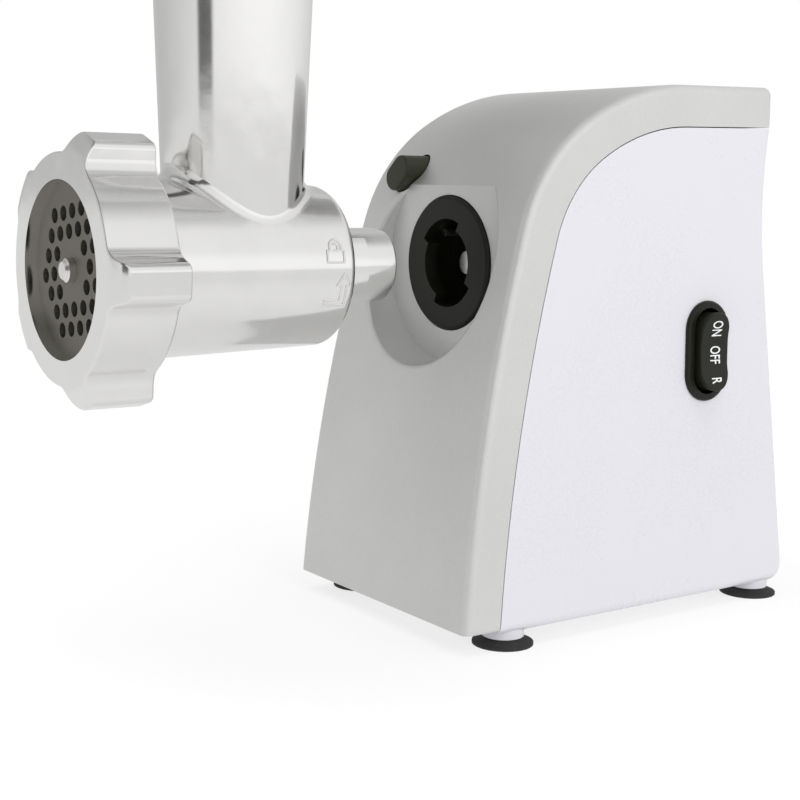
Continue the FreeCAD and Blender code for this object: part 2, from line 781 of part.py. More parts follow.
def involute_outline(module, teeth):
    """Corner points of one tooth, from its left root to its right root, tooth centred on +X."""
    pitch_r = module * teeth / 2.0
    base_r = pitch_r * math.cos(math.radians(PRESSURE_ANGLE))
    root_r = pitch_r - 1.1 * module
    tip_r = pitch_r + 0.85 * module

    def half_angle(radius):
        def involute(r):
            a = math.acos(min(1.0, base_r / r))
            return math.tan(a) - a
        tooth = math.pi / (2 * teeth) * (1.0 - BACKLASH) + involute(pitch_r)
        return tooth - involute(max(radius, base_r))
    first = max(root_r, base_r)
    flank = [first + (tip_r - first) * k / 3.0 for k in range(4)]
    radii = ([root_r] if root_r < base_r else []) + flank
    left = [(r, -half_angle(r)) for r in radii]
    right = [(r, half_angle(r)) for r in reversed(radii)]
    return left + right


def spur_gear(module, teeth, plane, centre, phase):
    """Spur gear along Y; phase is the angle of one tooth's middle, from +X towards +Z."""
    x, z = centre
    y0, width = plane
    points = []
    for k in range(teeth):
        turn = phase + 2 * math.pi * k / teeth
        for radius, angle in involute_outline(module, teeth):
            a = turn + angle
            points.append(V(x + radius * math.cos(a), y0, z + radius * math.sin(a)))
    return Part.Face(Part.makePolygon(points + points[:1])).extrude(V(0, width, 0))


def centre_distance(stage):
    return GEAR_MODULES[stage] * (PINION_TEETH[stage] + WHEEL_TEETH[stage]) / 2.0


def motor_axis():
    return 0.0, MOTOR_Z


def axis_a():
    rise = math.sqrt(centre_distance(0) ** 2 - WHEEL_A_X ** 2)
    return WHEEL_A_X, MOTOR_Z + rise


def axis_b():
    """Where the second and third centre distances meet, on the far side from the switch."""
    xa, za = axis_a()
    dx = -xa
    dz = AXIS_HEIGHT - za
    span = math.hypot(dx, dz)
    along = (centre_distance(1) ** 2 - centre_distance(2) ** 2 + span ** 2) / (2 * span)
    aside = math.sqrt(centre_distance(1) ** 2 - along ** 2)
    return xa + (dx * along - dz * aside) / span, za + (dz * along + dx * aside) / span


def output_axis():
    return 0.0, AXIS_HEIGHT


def mesh_angle(start, end):
    return math.atan2(end[1] - start[1], end[0] - start[0])


def stage_pinion(stage, start, end, plane):
    """Pinion at start with one tooth pointing at the wheel's centre."""
    return spur_gear(GEAR_MODULES[stage], PINION_TEETH[stage], plane, start, mesh_angle(start, end))


def stage_wheel(stage, start, end, plane):
    """Wheel at end with a tooth gap facing the pinion at start."""
    phase = mesh_angle(start, end) + math.pi + math.pi / WHEEL_TEETH[stage]
    return spur_gear(GEAR_MODULES[stage], WHEEL_TEETH[stage], plane, end, phase)


def wheel_body(wheel, stage, centre, plane, bore):
    """Lighten the wheel between rim and hub and bore it."""
    rim_r = GEAR_MODULES[stage] * WHEEL_TEETH[stage] / 2.0 - 1.1 * GEAR_MODULES[stage] - 3.0
    hub_r = bore + 4.0
    y0, width = plane
    for start, end in ((y0 - 1, y0 + width * 0.25), (y0 + width * 0.75, y0 + width + 1)):
        wheel = wheel.cut(tube(rim_r, hub_r, start, end, centre[0], centre[1]))
    return wheel.cut(rod(bore, y0 - 1, y0 + width + 1, centre[0], centre[1]))


def motor_pinion():
    pinion = stage_pinion(0, motor_axis(), axis_a(), PLANE_IN)
    return pinion.cut(rod(ARBOR_R, 0, 200, *motor_axis()))


def first_wheel():
    wheel = stage_wheel(0, motor_axis(), axis_a(), PLANE_IN)
    return wheel_body(wheel, 0, axis_a(), PLANE_IN, SHAFT_R)


def first_pinion():
    pinion = stage_pinion(1, axis_a(), axis_b(), PLANE_MID)
    return pinion.cut(rod(SHAFT_R, 0, 200, *axis_a()))


def second_wheel():
    wheel = stage_wheel(1, axis_a(), axis_b(), PLANE_MID)
    return wheel_body(wheel, 1, axis_b(), PLANE_MID, SHAFT_R)


def second_pinion():
    pinion = stage_pinion(2, axis_b(), output_axis(), PLANE_OUT)
    return pinion.cut(rod(SHAFT_R, 0, 200, *axis_b()))


def output_wheel():
    wheel = stage_wheel(2, axis_b(), output_axis(), PLANE_OUT)
    return wheel_body(wheel, 2, output_axis(), PLANE_OUT, OUTPUT_SHAFT_R)


def gear_shaft(centre):
    """Shaft across the gearbox, its ends running in the two walls."""
    x, z = centre
    return rod(SHAFT_R, HOUSING_FRONT_Y + 0.4, HOUSING_REAR_Y + HOUSING_WALL - 0.4, x, z)


def output_shaft():
    """Journals in the gearbox walls and the hexagon that drives the worm."""
    shaft = rod(OUTPUT_SHAFT_R, HOUSING_FRONT_Y - 0.6, HOUSING_REAR_Y + 1.0)
    hexagon = hexagon_rod(DRIVE_FLATS, HEX_TIP_Y, HOUSING_FRONT_Y)
    chamfer = revolve_about_y([(HEX_TIP_Y - 1, 0), (HEX_TIP_Y - 1, 3.8), (HEX_TIP_Y + 2.6, 6.2),
                               (HOUSING_FRONT_Y, 6.2), (HOUSING_FRONT_Y, 0)])
    return union([shaft, hexagon.common(chamfer)])


def gear_outline(grow):
    """Rounded outline around the three wheels and the motor pinion, as (centre, radius)."""
    def wheel_r(stage):
        return GEAR_MODULES[stage] * (WHEEL_TEETH[stage] / 2.0 + 0.85) + TIP_CLEARANCE
    return [(axis_a(), wheel_r(0) + grow), (axis_b(), wheel_r(1) + grow),
            (output_axis(), wheel_r(2) + grow), (motor_axis(), MOTOR_SEAT_R + grow)]


def gearbox_blank(grow, y0, y1):
    parts = []
    for centre, radius in gear_outline(grow):
        parts.append(rod(radius, y0, y1, centre[0], centre[1]))
    return union(parts)


def gearbox_screw_places():
    places = []
    for (centre, radius), angles in zip(gear_outline(HOUSING_WALL), ((-20,), (216,), (20, 160), (215, 325))):
        for angle in angles:
            a = math.radians(angle)
            r = radius - 0.8
            places.append((centre[0] + r * math.cos(a), centre[1] + r * math.sin(a)))
    return places


def gearbox_housing():
    """Die-cast cup: front wall, skirt, screw bosses, foot, and the output bearing's boss."""
    blank = gearbox_blank(HOUSING_WALL, HOUSING_FRONT_Y, HOUSING_REAR_Y)
    parts = [blank, rod(SPRING_SEAT_R, LATCH_SPRING_SEAT_Y, LATCH_SPRING_SEAT_Y + 5.0, BUTTON_X, BUTTON_Z)]
    for x, z in gearbox_screw_places():
        parts.append(rod(BOSS_R, HOUSING_FRONT_Y, HOUSING_REAR_Y, x, z))
    parts.append(block(-20, 20, HOUSING_FRONT_Y + 4, HOUSING_REAR_Y - 4, HOUSING_FOOT_Z, MOTOR_Z))
    body = union(parts)
    body = body.cut(gearbox_blank(0.0, HOUSING_FRONT_Y + HOUSING_WALL, HOUSING_REAR_Y + 1))
    hubs = [rod(OUTPUT_SHAFT_R + 4.0, HOUSING_FRONT_Y, PLANE_OUT[0] - 0.4)]
    for x, z in (axis_a(), axis_b()):
        hubs.append(rod(SHAFT_R + 3.0, HOUSING_FRONT_Y, PLANE_OUT[0] - 0.4, x, z))
    body = union([body] + hubs)
    body = body.cut(rod(OUTPUT_SHAFT_R + RUNNING_CLEARANCE, 0, 80))
    for x, z in (axis_a(), axis_b()):
        body = body.cut(rod(SHAFT_R + RUNNING_CLEARANCE, HOUSING_FRONT_Y + 0.3, 80, x, z))
    for x, z in gearbox_screw_places():
        body = body.cut(rod(SCREW_R, HOUSING_REAR_Y - SCREW_DEPTH, HOUSING_REAR_Y + 1, x, z))
    return body


def gearbox_plate():
    """Rear wall of the gearbox, which also carries the motor's front bearing."""
    y0 = HOUSING_REAR_Y
    y1 = HOUSING_REAR_Y + HOUSING_WALL
    parts = [gearbox_blank(HOUSING_WALL, y0, y1)]
    for x, z in gearbox_screw_places():
        parts.append(rod(BOSS_R, y0, y1, x, z))
    reach = STATOR_HALF - 5.0
    mx, mz = motor_axis()
    parts.append(block(mx - reach, mx + reach, y0, y1, mz - reach, mz + reach))
    for x, z in motor_screw_places():
        parts.append(rod(BOSS_R, y0, STATOR_Y[0], x, z))
    plate = union(parts)
    plate = plate.cut(rod(BEARING_R, y0 - 1, y1 + 1, mx, mz))
    plate = plate.cut(rod(OUTPUT_SHAFT_R + RUNNING_CLEARANCE, y0 - 1, y0 + 1.4))
    for x, z in (axis_a(), axis_b()):
        plate = plate.cut(rod(SHAFT_R + RUNNING_CLEARANCE, y0 - 1, y1 - 0.3, x, z))
    for x, z in gearbox_screw_places():
        plate = plate.cut(rod(SCREW_R, y0 - 1, y1 + 1, x, z))
    for x, z in motor_screw_places():
        plate = plate.cut(rod(SCREW_R, y0 - 1, STATOR_Y[0] + 1, x, z))
    return plate


def screw(x, z, head_y, end_y):
    """Pan-head screw along Y with its head at head_y and its tip at end_y."""
    out = 1.0 if head_y > end_y else -1.0
    head = rod(SCREW_R * 1.8, min(head_y, head_y + out * 2.0), max(head_y, head_y + out * 2.0), x, z)
    shank = rod(SCREW_R, min(head_y, end_y), max(head_y, end_y), x, z)
    return head.fuse(shank).removeSplitter()


def gearbox_screws():
    rear = HOUSING_REAR_Y + HOUSING_WALL
    screws = [screw(x, z, rear, HOUSING_REAR_Y - SCREW_DEPTH + 1.0) for x, z in gearbox_screw_places()]
    return Part.makeCompound(screws)


# ============================== motor ======================================================

def motor_screw_places():
    reach = STATOR_HALF - 5.0
    return [(sx * reach, MOTOR_Z + sz * reach) for sx in (-1, 1) for sz in (-1, 1)]


def stator_core():
    y0, y1 = STATOR_Y
    core = block(-STATOR_HALF, STATOR_HALF, y0, y1, MOTOR_Z - STATOR_HALF, MOTOR_Z + STATOR_HALF)

    def corner(p, edge):
        return abs(abs(p.x) - STATOR_HALF) < 0.01 and abs(abs(p.z - MOTOR_Z) - STATOR_HALF) < 0.01
    core = round_edges(core, 6.0, corner)
    mx, mz = motor_axis()
    core = core.cut(rod(ARMATURE_R + AIR_GAP, y0 - 1, y1 + 1, mx, mz))
    for side in (-1, 1):
        window = block(-COIL_HALF_W - 0.4, COIL_HALF_W + 0.4, y0 - 1, y1 + 1, COIL_IN - 0.4, COIL_OUT + 0.4)
        if side < 0:
            window = window.mirror(V(0, 0, 0), AXIS_Z)
        pole = block(-COIL_CORE_HALF_W, COIL_CORE_HALF_W, y0 - 2, y1 + 2, 0, 60)
        if side < 0:
            pole = pole.mirror(V(0, 0, 0), AXIS_Z)
        core = core.cut(moved(window.cut(pole), 0, 0, MOTOR_Z))
    for x, z in motor_screw_places():
        core = core.cut(rod(SCREW_R, y0 - 1, y1 + 1, x, z))
    return core


def field_coils():
    """Two wound coils around the upper and lower poles."""
    y0, y1 = STATOR_Y
    coils = []
    for side in (-1, 1):
        coil = block(-COIL_HALF_W, COIL_HALF_W, y0 - COIL_END, y1 + COIL_END, COIL_IN, COIL_OUT)
        hole = block(-COIL_CORE_HALF_W - 0.3, COIL_CORE_HALF_W + 0.3, y0 - 0.3, y1 + 0.3, 0, 60)

        def upright(p, edge):
            return abs(abs(p.x) - COIL_HALF_W) < 0.01 and abs(p.z - (COIL_IN + COIL_OUT) / 2) < 0.01
        coil = round_edges(coil, 3.0, upright).cut(hole)
        if side < 0:
            coil = coil.mirror(V(0, 0, 0), AXIS_Z)
        coils.append(moved(coil, 0, 0, MOTOR_Z))
    return Part.makeCompound(coils)


def armature_core():
    """Laminated armature with its winding slots."""
    y0, y1 = STATOR_Y
    mx, mz = motor_axis()
    core = rod(ARMATURE_R, y0, y1, mx, mz)
    for k in range(ARMATURE_SLOTS):
        a = 2 * math.pi * k / ARMATURE_SLOTS
        r = ARMATURE_R - 2.6
        core = core.cut(rod(2.2, y0 - 1, y1 + 1, mx + r * math.cos(a), mz + r * math.sin(a)))
    return core.cut(rod(ARBOR_R, y0 - 1, y1 + 1, mx, mz))


def armature_winding():
    """Wound overhangs at both ends of the armature, joined by the wire in its slots."""
    y0, y1 = STATOR_Y
    mx, mz = motor_axis()
    outer = ARMATURE_R - 1.2
    parts = []
    for start, end, towards in ((y0 - WINDING_END, y0, y0), (y1, y1 + WINDING_END, y1)):
        far = start if towards == y0 else end
        slope = 2.0 if towards == y0 else -2.0
        parts.append(revolve_about_y([(towards, ARBOR_R + 0.2), (towards, outer), (far + slope, outer),
                                      (far, outer - 2.5), (far, ARBOR_R + 0.2)], mz, mx))
    for k in range(ARMATURE_SLOTS):
        a = 2 * math.pi * k / ARMATURE_SLOTS
        r = ARMATURE_R - 2.9
        parts.append(rod(1.5, y0 - 0.5, y1 + 0.5, mx + r * math.cos(a), mz + r * math.sin(a)))
    return union(parts)


def armature_shaft():
    return rod(ARBOR_R, PLANE_IN[0], BRACKET_Y[1] - 0.4, *motor_axis())


def commutator():
    y0, y1 = COMMUTATOR_Y
    mx, mz = motor_axis()
    drum = tube(COMMUTATOR_R, ARBOR_R, y0, y1, mx, mz)
    for k in range(COMMUTATOR_BARS):
        gap = block(COMMUTATOR_R - 1.0, COMMUTATOR_R + 1.0, y0 - 1, y1 + 1, -0.25, 0.25)
        gap.rotate(V(0, 0, 0), AXIS_Y, 360.0 * k / COMMUTATOR_BARS)
        drum = drum.cut(moved(gap, mx, 0, mz))
    return drum


def cooling_fan():
    y0, y1 = FAN_Y
    mx, mz = motor_axis()
    parts = [tube(9.0, ARBOR_R, y0, y1, mx, mz), tube(FAN_R, 8.0, y1 - 1.2, y1, mx, mz)]
    for k in range(FAN_BLADES):
        blade = block(8.0, FAN_R - 0.5, y0, y1 - 0.5, -0.7, 0.7)
        blade.rotate(V(0, 0, 0), AXIS_Y, 360.0 * k / FAN_BLADES)
        parts.append(moved(blade, mx, 0, mz))
    return union(parts)


def motor_bearings():
    """Front bearing in the gearbox plate, rear bearing in the motor bracket."""
    mx, mz = motor_axis()
    inner = ARBOR_R + RUNNING_CLEARANCE
    front = tube(BEARING_R, inner, HOUSING_REAR_Y, HOUSING_REAR_Y + HOUSING_WALL, mx, mz)
    rear = tube(BEARING_R, inner, BRACKET_Y[0], BRACKET_Y[1], mx, mz)
    return Part.makeCompound([front, rear])


def motor_bracket():
    """Rear bracket on four pillars; it carries the rear bearing and the brush holders."""
    y0, y1 = BRACKET_Y
    mx, mz = motor_axis()
    reach = STATOR_HALF - 5.0
    arms = []
    for turn in (45, 135):
        arm = block(-reach * math.sqrt(2), reach * math.sqrt(2), y0, y1, -5.0, 5.0)
        arm.rotate(V(0, 0, 0), AXIS_Y, turn)
        arms.append(moved(arm, mx, 0, mz))
    parts = arms + [rod(BEARING_R + 4.0, y0, y1, mx, mz)]
    parts.append(block(-BRUSH_END_X, BRUSH_END_X, y0, y1, MOTOR_Z - 6.0, MOTOR_Z + 6.0))
    for x, z in motor_screw_places():
        parts.append(rod(BOSS_R, STATOR_Y[1], y1, x, z))
    bracket = union(parts).cut(rod(BEARING_R, y0 - 1, y1 + 1, mx, mz))
    for x, z in motor_screw_places():
        bracket = bracket.cut(rod(SCREW_R, y0 - 30, y1 + 1, x, z))
    return bracket


def motor_screws():
    screws = [screw(x, z, BRACKET_Y[1], HOUSING_REAR_Y + 1.0) for x, z in motor_screw_places()]
    return Part.makeCompound(screws)


def brush_holders():
    holders = []
    y_mid = (COMMUTATOR_Y[0] + COMMUTATOR_Y[1]) / 2.0
    for side in (-1, 1):
        box = block(COMMUTATOR_R + 1.2, BRUSH_END_X, y_mid - 4.2, BRACKET_Y[0], MOTOR_Z - 4.6, MOTOR_Z + 4.6)
        box = box.cut(block(0, BRUSH_END_X - 1.2, y_mid - 2.9, y_mid + 2.9, MOTOR_Z - 3.4, MOTOR_Z + 3.4))
        holders.append(box if side > 0 else box.mirror(V(0, 0, 0), AXIS_X))
    return Part.makeCompound(holders)


def carbon_brushes():
    brushes = []
    y_mid = (COMMUTATOR_Y[0] + COMMUTATOR_Y[1]) / 2.0
    for side in (-1, 1):
        brush = block(5.0, BRUSH_BACK_X, y_mid - 2.85, y_mid + 2.85, MOTOR_Z - 3.35, MOTOR_Z + 3.35)
        brush = brush.cut(rod(COMMUTATOR_R + RUNNING_CLEARANCE, 100, 200, *motor_axis()))
        brushes.append(brush if side > 0 else brush.mirror(V(0, 0, 0), AXIS_X))
    return Part.makeCompound(brushes)


def brush_springs():
    springs = []
    y_mid = (COMMUTATOR_Y[0] + COMMUTATOR_Y[1]) / 2.0
    for side in (-1, 1):
        spring = coil_spring(1.9, 0.3, BRUSH_END_X - 1.2 - BRUSH_BACK_X, 6)
        spring.rotate(V(0, 0, 0), AXIS_Z, -90)
        spring = moved(spring, BRUSH_BACK_X, y_mid, MOTOR_Z)
        springs.append(spring if side > 0 else spring.mirror(V(0, 0, 0), AXIS_X))
    return Part.makeCompound(springs)


# ============================== head =======================================================

def head_casting():
    """Barrel, rear spigot with its lugs, threaded collar and feed tube in one casting."""
    barrel = revolve_about_y([(HEAD_END_Y, 0), (HEAD_END_Y, BARREL_R_REAR), (BARREL_FRONT_Y, BARREL_R_FRONT),
                              (BARREL_FRONT_Y, 0)])

    def rear_rim(p, edge):
        return abs(p.y - HEAD_END_Y) < 0.01
    barrel = round_edges(barrel, BARREL_EDGE_ROUND, rear_rim)
    slope = math.tan(math.radians(TUBE_DRAFT))
    low = AXIS_HEIGHT
    r_low = TUBE_R_BASE + slope * (low - TUBE_BASE_Z)
    r_top = TUBE_R_BASE + slope * (TUBE_TOP_Z - TUBE_BASE_Z)
    neck = Part.makeCone(r_low, r_top, TUBE_TOP_Z - low, V(0, TUBE_Y, low), AXIS_Z)
    outside = barrel.fuse(neck).removeSplitter()

    def tube_root(p, edge):
        on_tube = abs(math.hypot(p.x, p.y - TUBE_Y) - TUBE_R_BASE) < 2.0
        return on_tube and AXIS_HEIGHT + 5 < p.z < TUBE_BASE_Z + 12 and edge.Length > 20
    outside = round_edges(outside, CAST_BLEND, tube_root)
    bead = revolve_about_z([(0, TUBE_TOP_Z - TUBE_BEAD_H - 1.5), (r_top - 0.3, TUBE_TOP_Z - TUBE_BEAD_H - 1.5),
                            (TUBE_BEAD_R, TUBE_TOP_Z - TUBE_BEAD_H + 0.5), (TUBE_BEAD_R, TUBE_TOP_Z - 0.8),
                            (TUBE_BEAD_R - 0.8, TUBE_TOP_Z), (0, TUBE_TOP_Z)], 0, TUBE_Y)
    collar = rod(COLLAR_R, COLLAR_END_Y, BARREL_FRONT_Y)
    spigot = rod(SPIGOT_R, HEAD_END_Y - 1, SPIGOT_END_Y)

    def spigot_rim(p, edge):
        return abs(p.y - SPIGOT_END_Y) < 0.01
    spigot = round_edges(spigot, 0.8, spigot_rim)
    lug_y = HEAD_END_Y + LUG_START
    lugs = [sector(LUG_R, LUG_HALF_ANGLE, side, lug_y, lug_y + LUG_T) for side in (-90.0, 90.0)]
    outside = union([outside, bead, collar, spigot] + lugs)

    chamber = rod(CHAMBER_R, COLLAR_END_Y - 1, HEAD_END_Y - BARREL_REAR_WALL)
    inner_low = r_low - TUBE_WALL
    inner_top = r_top - TUBE_WALL
    bore = Part.makeCone(inner_low, inner_top, TUBE_TOP_Z + 1 - low, V(0, TUBE_Y, low), AXIS_Z)
    casting = outside.cut(chamber).cut(bore)
    seat_y = PLATE_FACE_Y + PLATE_T
    casting = casting.cut(rod(PLATE_R + PLATE_SEAT_CLEARANCE, COLLAR_END_Y - 1, seat_y))
    casting = casting.cut(rod(BUSH_R + RUNNING_CLEARANCE, HEAD_END_Y - 40, 20))
    key = block(-1.6, 1.6, COLLAR_END_Y, seat_y, AXIS_HEIGHT + PLATE_R - 1.4, AXIS_HEIGHT + PLATE_R + 1.0)
    return union([casting, key])


def nut_envelope(rear_y):
    """Solid of revolution that rounds the front corners of the ring and its lobes."""
    inner_r = NUT_R - NUT_RIM_ROUND
    outer_r = NUT_LOBE_R + 2.0
    rise = outer_r - inner_r

    def at(y, r):
        return V(0, y, AXIS_HEIGHT + r)
    first = at(NUT_FACE_Y, inner_r)
    middle = at(NUT_FACE_Y + 0.30 * NUT_FRONT_ROUND, inner_r + 0.72 * rise)
    last = at(NUT_FACE_Y + NUT_FRONT_ROUND, outer_r)
    edges = [Part.makeLine(at(NUT_FACE_Y, 0), first), Part.Arc(first, middle, last).toShape(),
             Part.makeLine(last, at(rear_y, outer_r)), Part.makeLine(at(rear_y, outer_r), at(rear_y, 0)),
             Part.makeLine(at(rear_y, 0), at(NUT_FACE_Y, 0))]
    return Part.Face(Part.Wire(edges)).revolve(V(0, 0, AXIS_HEIGHT), AXIS_Y, 360)


def ring_nut():
    """Ring with five grip lobes; its front lip holds the cutting plate."""
    rear_y = NUT_FACE_Y + NUT_LENGTH
    flank = NUT_LOBE_HALF_WIDTH
    root = flank + NUT_LOBE_SPREAD
    parts = [rod(NUT_R, NUT_FACE_Y, rear_y)]
    for k in range(NUT_LOBES):
        corners = [V(-root, NUT_FACE_Y, NUT_R - 6.0), V(root, NUT_FACE_Y, NUT_R - 6.0),
                   V(flank, NUT_FACE_Y, NUT_LOBE_R), V(-flank, NUT_FACE_Y, NUT_LOBE_R)]
        lobe = Part.Face(Part.makePolygon(corners + corners[:1])).extrude(V(0, NUT_LENGTH, 0))
        lobe.rotate(V(0, 0, 0), AXIS_Y, NUT_LOBE_FIRST + 360.0 * k / NUT_LOBES)
        parts.append(moved(lobe, 0, 0, AXIS_HEIGHT))
    body = union(parts)

    def lobe_root(p, edge):
        radius = math.hypot(p.x, p.z - AXIS_HEIGHT)
        return isinstance(edge.Curve, Part.Line) and abs(radius - NUT_R) < 0.1

    def lobe_corner(p, edge):
        radius = math.hypot(p.x, p.z - AXIS_HEIGHT)
        along = isinstance(edge.Curve, Part.Line) and abs(edge.Length - NUT_LENGTH) < 0.1
        return along and radius > NUT_LOBE_R - 0.5
    body = round_edges(body, NUT_LOBE_BLEND, lobe_root)
    body = round_edges(body, NUT_LOBE_CORNER, lobe_corner)
    body = body.common(nut_envelope(rear_y)).removeSplitter()

    def rear_rim(p, edge):
        return abs(p.y - rear_y) < 0.01

    def front_edges(p, edge):
        return p.y < NUT_FACE_Y + NUT_FRONT_ROUND + 0.5
    body = round_edges(body, NUT_REAR_ROUND, rear_rim)
    body = round_edges(body, NUT_EDGE_ROUND, front_edges)
    body = body.cut(rod(NUT_OPENING_R, NUT_FACE_Y - 1, rear_y + 1))
    body = body.cut(rod(COLLAR_R + RUNNING_CLEARANCE, PLATE_FACE_Y, rear_y + 1))
    return body


def hole_places():
    """Hexagonal grid without the seven middle places."""
    places = []
    rings = PLATE_HOLE_RINGS
    for q in range(-rings, rings + 1):
        for r in range(-rings, rings + 1):
            s = -q - r
            ring = max(abs(q), abs(r), abs(s))
            if 2 <= ring <= rings:
                x = PLATE_HOLE_PITCH * (q + r / 2.0)
                z = PLATE_HOLE_PITCH * r * math.sqrt(3) / 2.0
                places.append((x, z))
    return places


def cutting_plate():
    y0 = PLATE_FACE_Y
    plate = rod(PLATE_R, y0, y0 + PLATE_T)
    turn = math.radians(PLATE_TURN)
    holes = []
    for x, z in hole_places():
        hx = x * math.cos(turn) - z * math.sin(turn)
        hz = x * math.sin(turn) + z * math.cos(turn)
        holes.append(rod(PLATE_HOLE_R, y0 - 1, y0 + PLATE_T + 1, hx, AXIS_HEIGHT + hz))
    plate = plate.cut(Part.makeCompound(holes))
    plate = plate.cut(rod(PIN_R + RUNNING_CLEARANCE, y0 - 1, y0 + PLATE_T + 1))
    return plate.cut(block(-1.75, 1.75, y0 - 1, y0 + PLATE_T + 1,
                           AXIS_HEIGHT + PLATE_R - 1.55, AXIS_HEIGHT + PLATE_R + 2))


def knife():
    """Four-winged knife on the worm's square, its edges against the plate."""
    y0 = PLATE_FACE_Y + PLATE_T + KNIFE_GAP
    y1 = y0 + KNIFE_T
    parts = [rod(10.0, y0, y1)]
    for k in range(4):
        wing = block(0, KNIFE_R, y0, y1, -3.2, 3.2)
        relief = block(4.0, KNIFE_R + 1, y0 + 3.0, y1 + 1, -4, 0.4)
        wing = wing.cut(relief)
        wing.rotate(V(0, 0, 0), AXIS_Y, 90.0 * k)
        parts.append(moved(wing, 0, 0, AXIS_HEIGHT))
    blades = union(parts).common(rod(KNIFE_R, y0 - 1, y1 + 1))
    half = KNIFE_SQUARE / 2.0
    return blades.cut(block(-half, half, y0 - 1, y1 + 1, AXIS_HEIGHT - half, AXIS_HEIGHT + half))


def worm_front_y():
    return PLATE_FACE_Y + PLATE_T + KNIFE_GAP + KNIFE_T


def worm():
    """Feed worm: core, helical blade, square for the knife and rear journal with its hex socket."""
    front = worm_front_y()
    rear = front + WORM_LENGTH
    core = revolve_about_y([(front, 0), (front, WORM_CORE_R), (rear, WORM_CORE_R + 2.5), (rear, 0)])
    helix = Part.makeHelix(WORM_PITCH, WORM_LENGTH - WORM_BLADE_T * 2, WORM_CORE_R)
    inner = WORM_CORE_R - 2.0
    half_root = WORM_BLADE_T * 0.7
    half_tip = WORM_BLADE_T * 0.4
    corners = [V(inner, 0, -half_root), V(WORM_R, 0, -half_tip), V(WORM_R, 0, half_tip), V(inner, 0, half_root)]
    blade = Part.Wire(helix.Edges).makePipeShell([Part.makePolygon(corners + corners[:1])], True, True)
    blade.rotate(V(0, 0, 0), AXIS_X, 90)
    blade = moved(blade, 0, rear - WORM_BLADE_T, AXIS_HEIGHT)
    journal_end = SPIGOT_END_Y - 1.0
    journal = rod(JOURNAL_R, rear - 1, journal_end)
    half = KNIFE_SQUARE / 2.0 - 0.02
    square = block(-half, half, worm_front_y() - KNIFE_T + 0.3, front + 1, AXIS_HEIGHT - half, AXIS_HEIGHT + half)
    solid = core.fuse(blade).fuse(journal).fuse(square).removeSplitter()
    socket = hexagon_rod(DRIVE_FLATS + 2 * DRIVE_CLEARANCE, journal_end - HEX_SOCKET_DEPTH, journal_end + 1)
    lead_in = rod(HEX_LEAD_R, journal_end - HEX_LEAD_DEPTH, journal_end + 1)
    solid = solid.cut(socket).cut(lead_in)
    return solid.cut(rod(PIN_THREAD_R, front - KNIFE_T - 1, front + PIN_THREAD_DEPTH))


def worm_pin():
    """Hardened stud screwed into the worm; it runs in the plate's middle hole."""
    tip = PLATE_FACE_Y - PIN_PROUD
    shoulder = PLATE_FACE_Y + PLATE_T + KNIFE_GAP + 0.3
    front = worm_front_y()
    return revolve_about_y([(tip, 0), (tip, PIN_R - 1.2), (tip + 1.2, PIN_R), (shoulder, PIN_R),
                            (shoulder, PIN_THREAD_R), (front + PIN_THREAD_DEPTH - 0.5, PIN_THREAD_R),
                            (front + PIN_THREAD_DEPTH - 0.5, 0)])


def thrust_washer():
    """Nylon washer between the worm's shoulder and the barrel's rear wall."""
    start = worm_front_y() + WORM_LENGTH + 0.2
    end = HEAD_END_Y - BARREL_REAR_WALL - 0.2
    return tube(WORM_CORE_R + 6.0, JOURNAL_R + RUNNING_CLEARANCE, start, end)


def spigot_bush():
    return tube(BUSH_R, JOURNAL_R + RUNNING_CLEARANCE, HEAD_END_Y - BARREL_REAR_WALL + 0.4, SPIGOT_END_Y - 0.6)


# ============================== tray and pusher ============================================

def rounded_slab(half_width, y0, y1, radius, z0, z1):
    slab = block(-half_width, half_width, y0, y1, z0, z1)

    def upright(p, edge):
        return abs(p.z - (z0 + z1) / 2.0) < 0.01
    return round_edges(slab, radius, upright)


def tray_bowl(grow, z0, z1):
    """Tapered bowl between two rounded outlines, wider at the top."""
    loops = []
    for z, flare in ((z0, 0.0), (z1, TRAY_FLARE)):
        slab = rounded_slab(TRAY_HALF_WIDTH - TRAY_FLARE + flare + grow, TRAY_FRONT_Y + TRAY_FLARE - flare - grow,
                            TRAY_REAR_Y - TRAY_FLARE + flare + grow, TRAY_CORNER_R + grow, z, z + 1)
        bottom = min(slab.Faces, key=lambda f: f.CenterOfMass.z)
        loops.append(bottom.OuterWire)
    return Part.makeLoft(loops, True, True)


def tube_top_inner_r():
    slope = math.tan(math.radians(TUBE_DRAFT))
    return TUBE_R_BASE + slope * (TUBE_TOP_Z - TUBE_BASE_Z) - TUBE_WALL


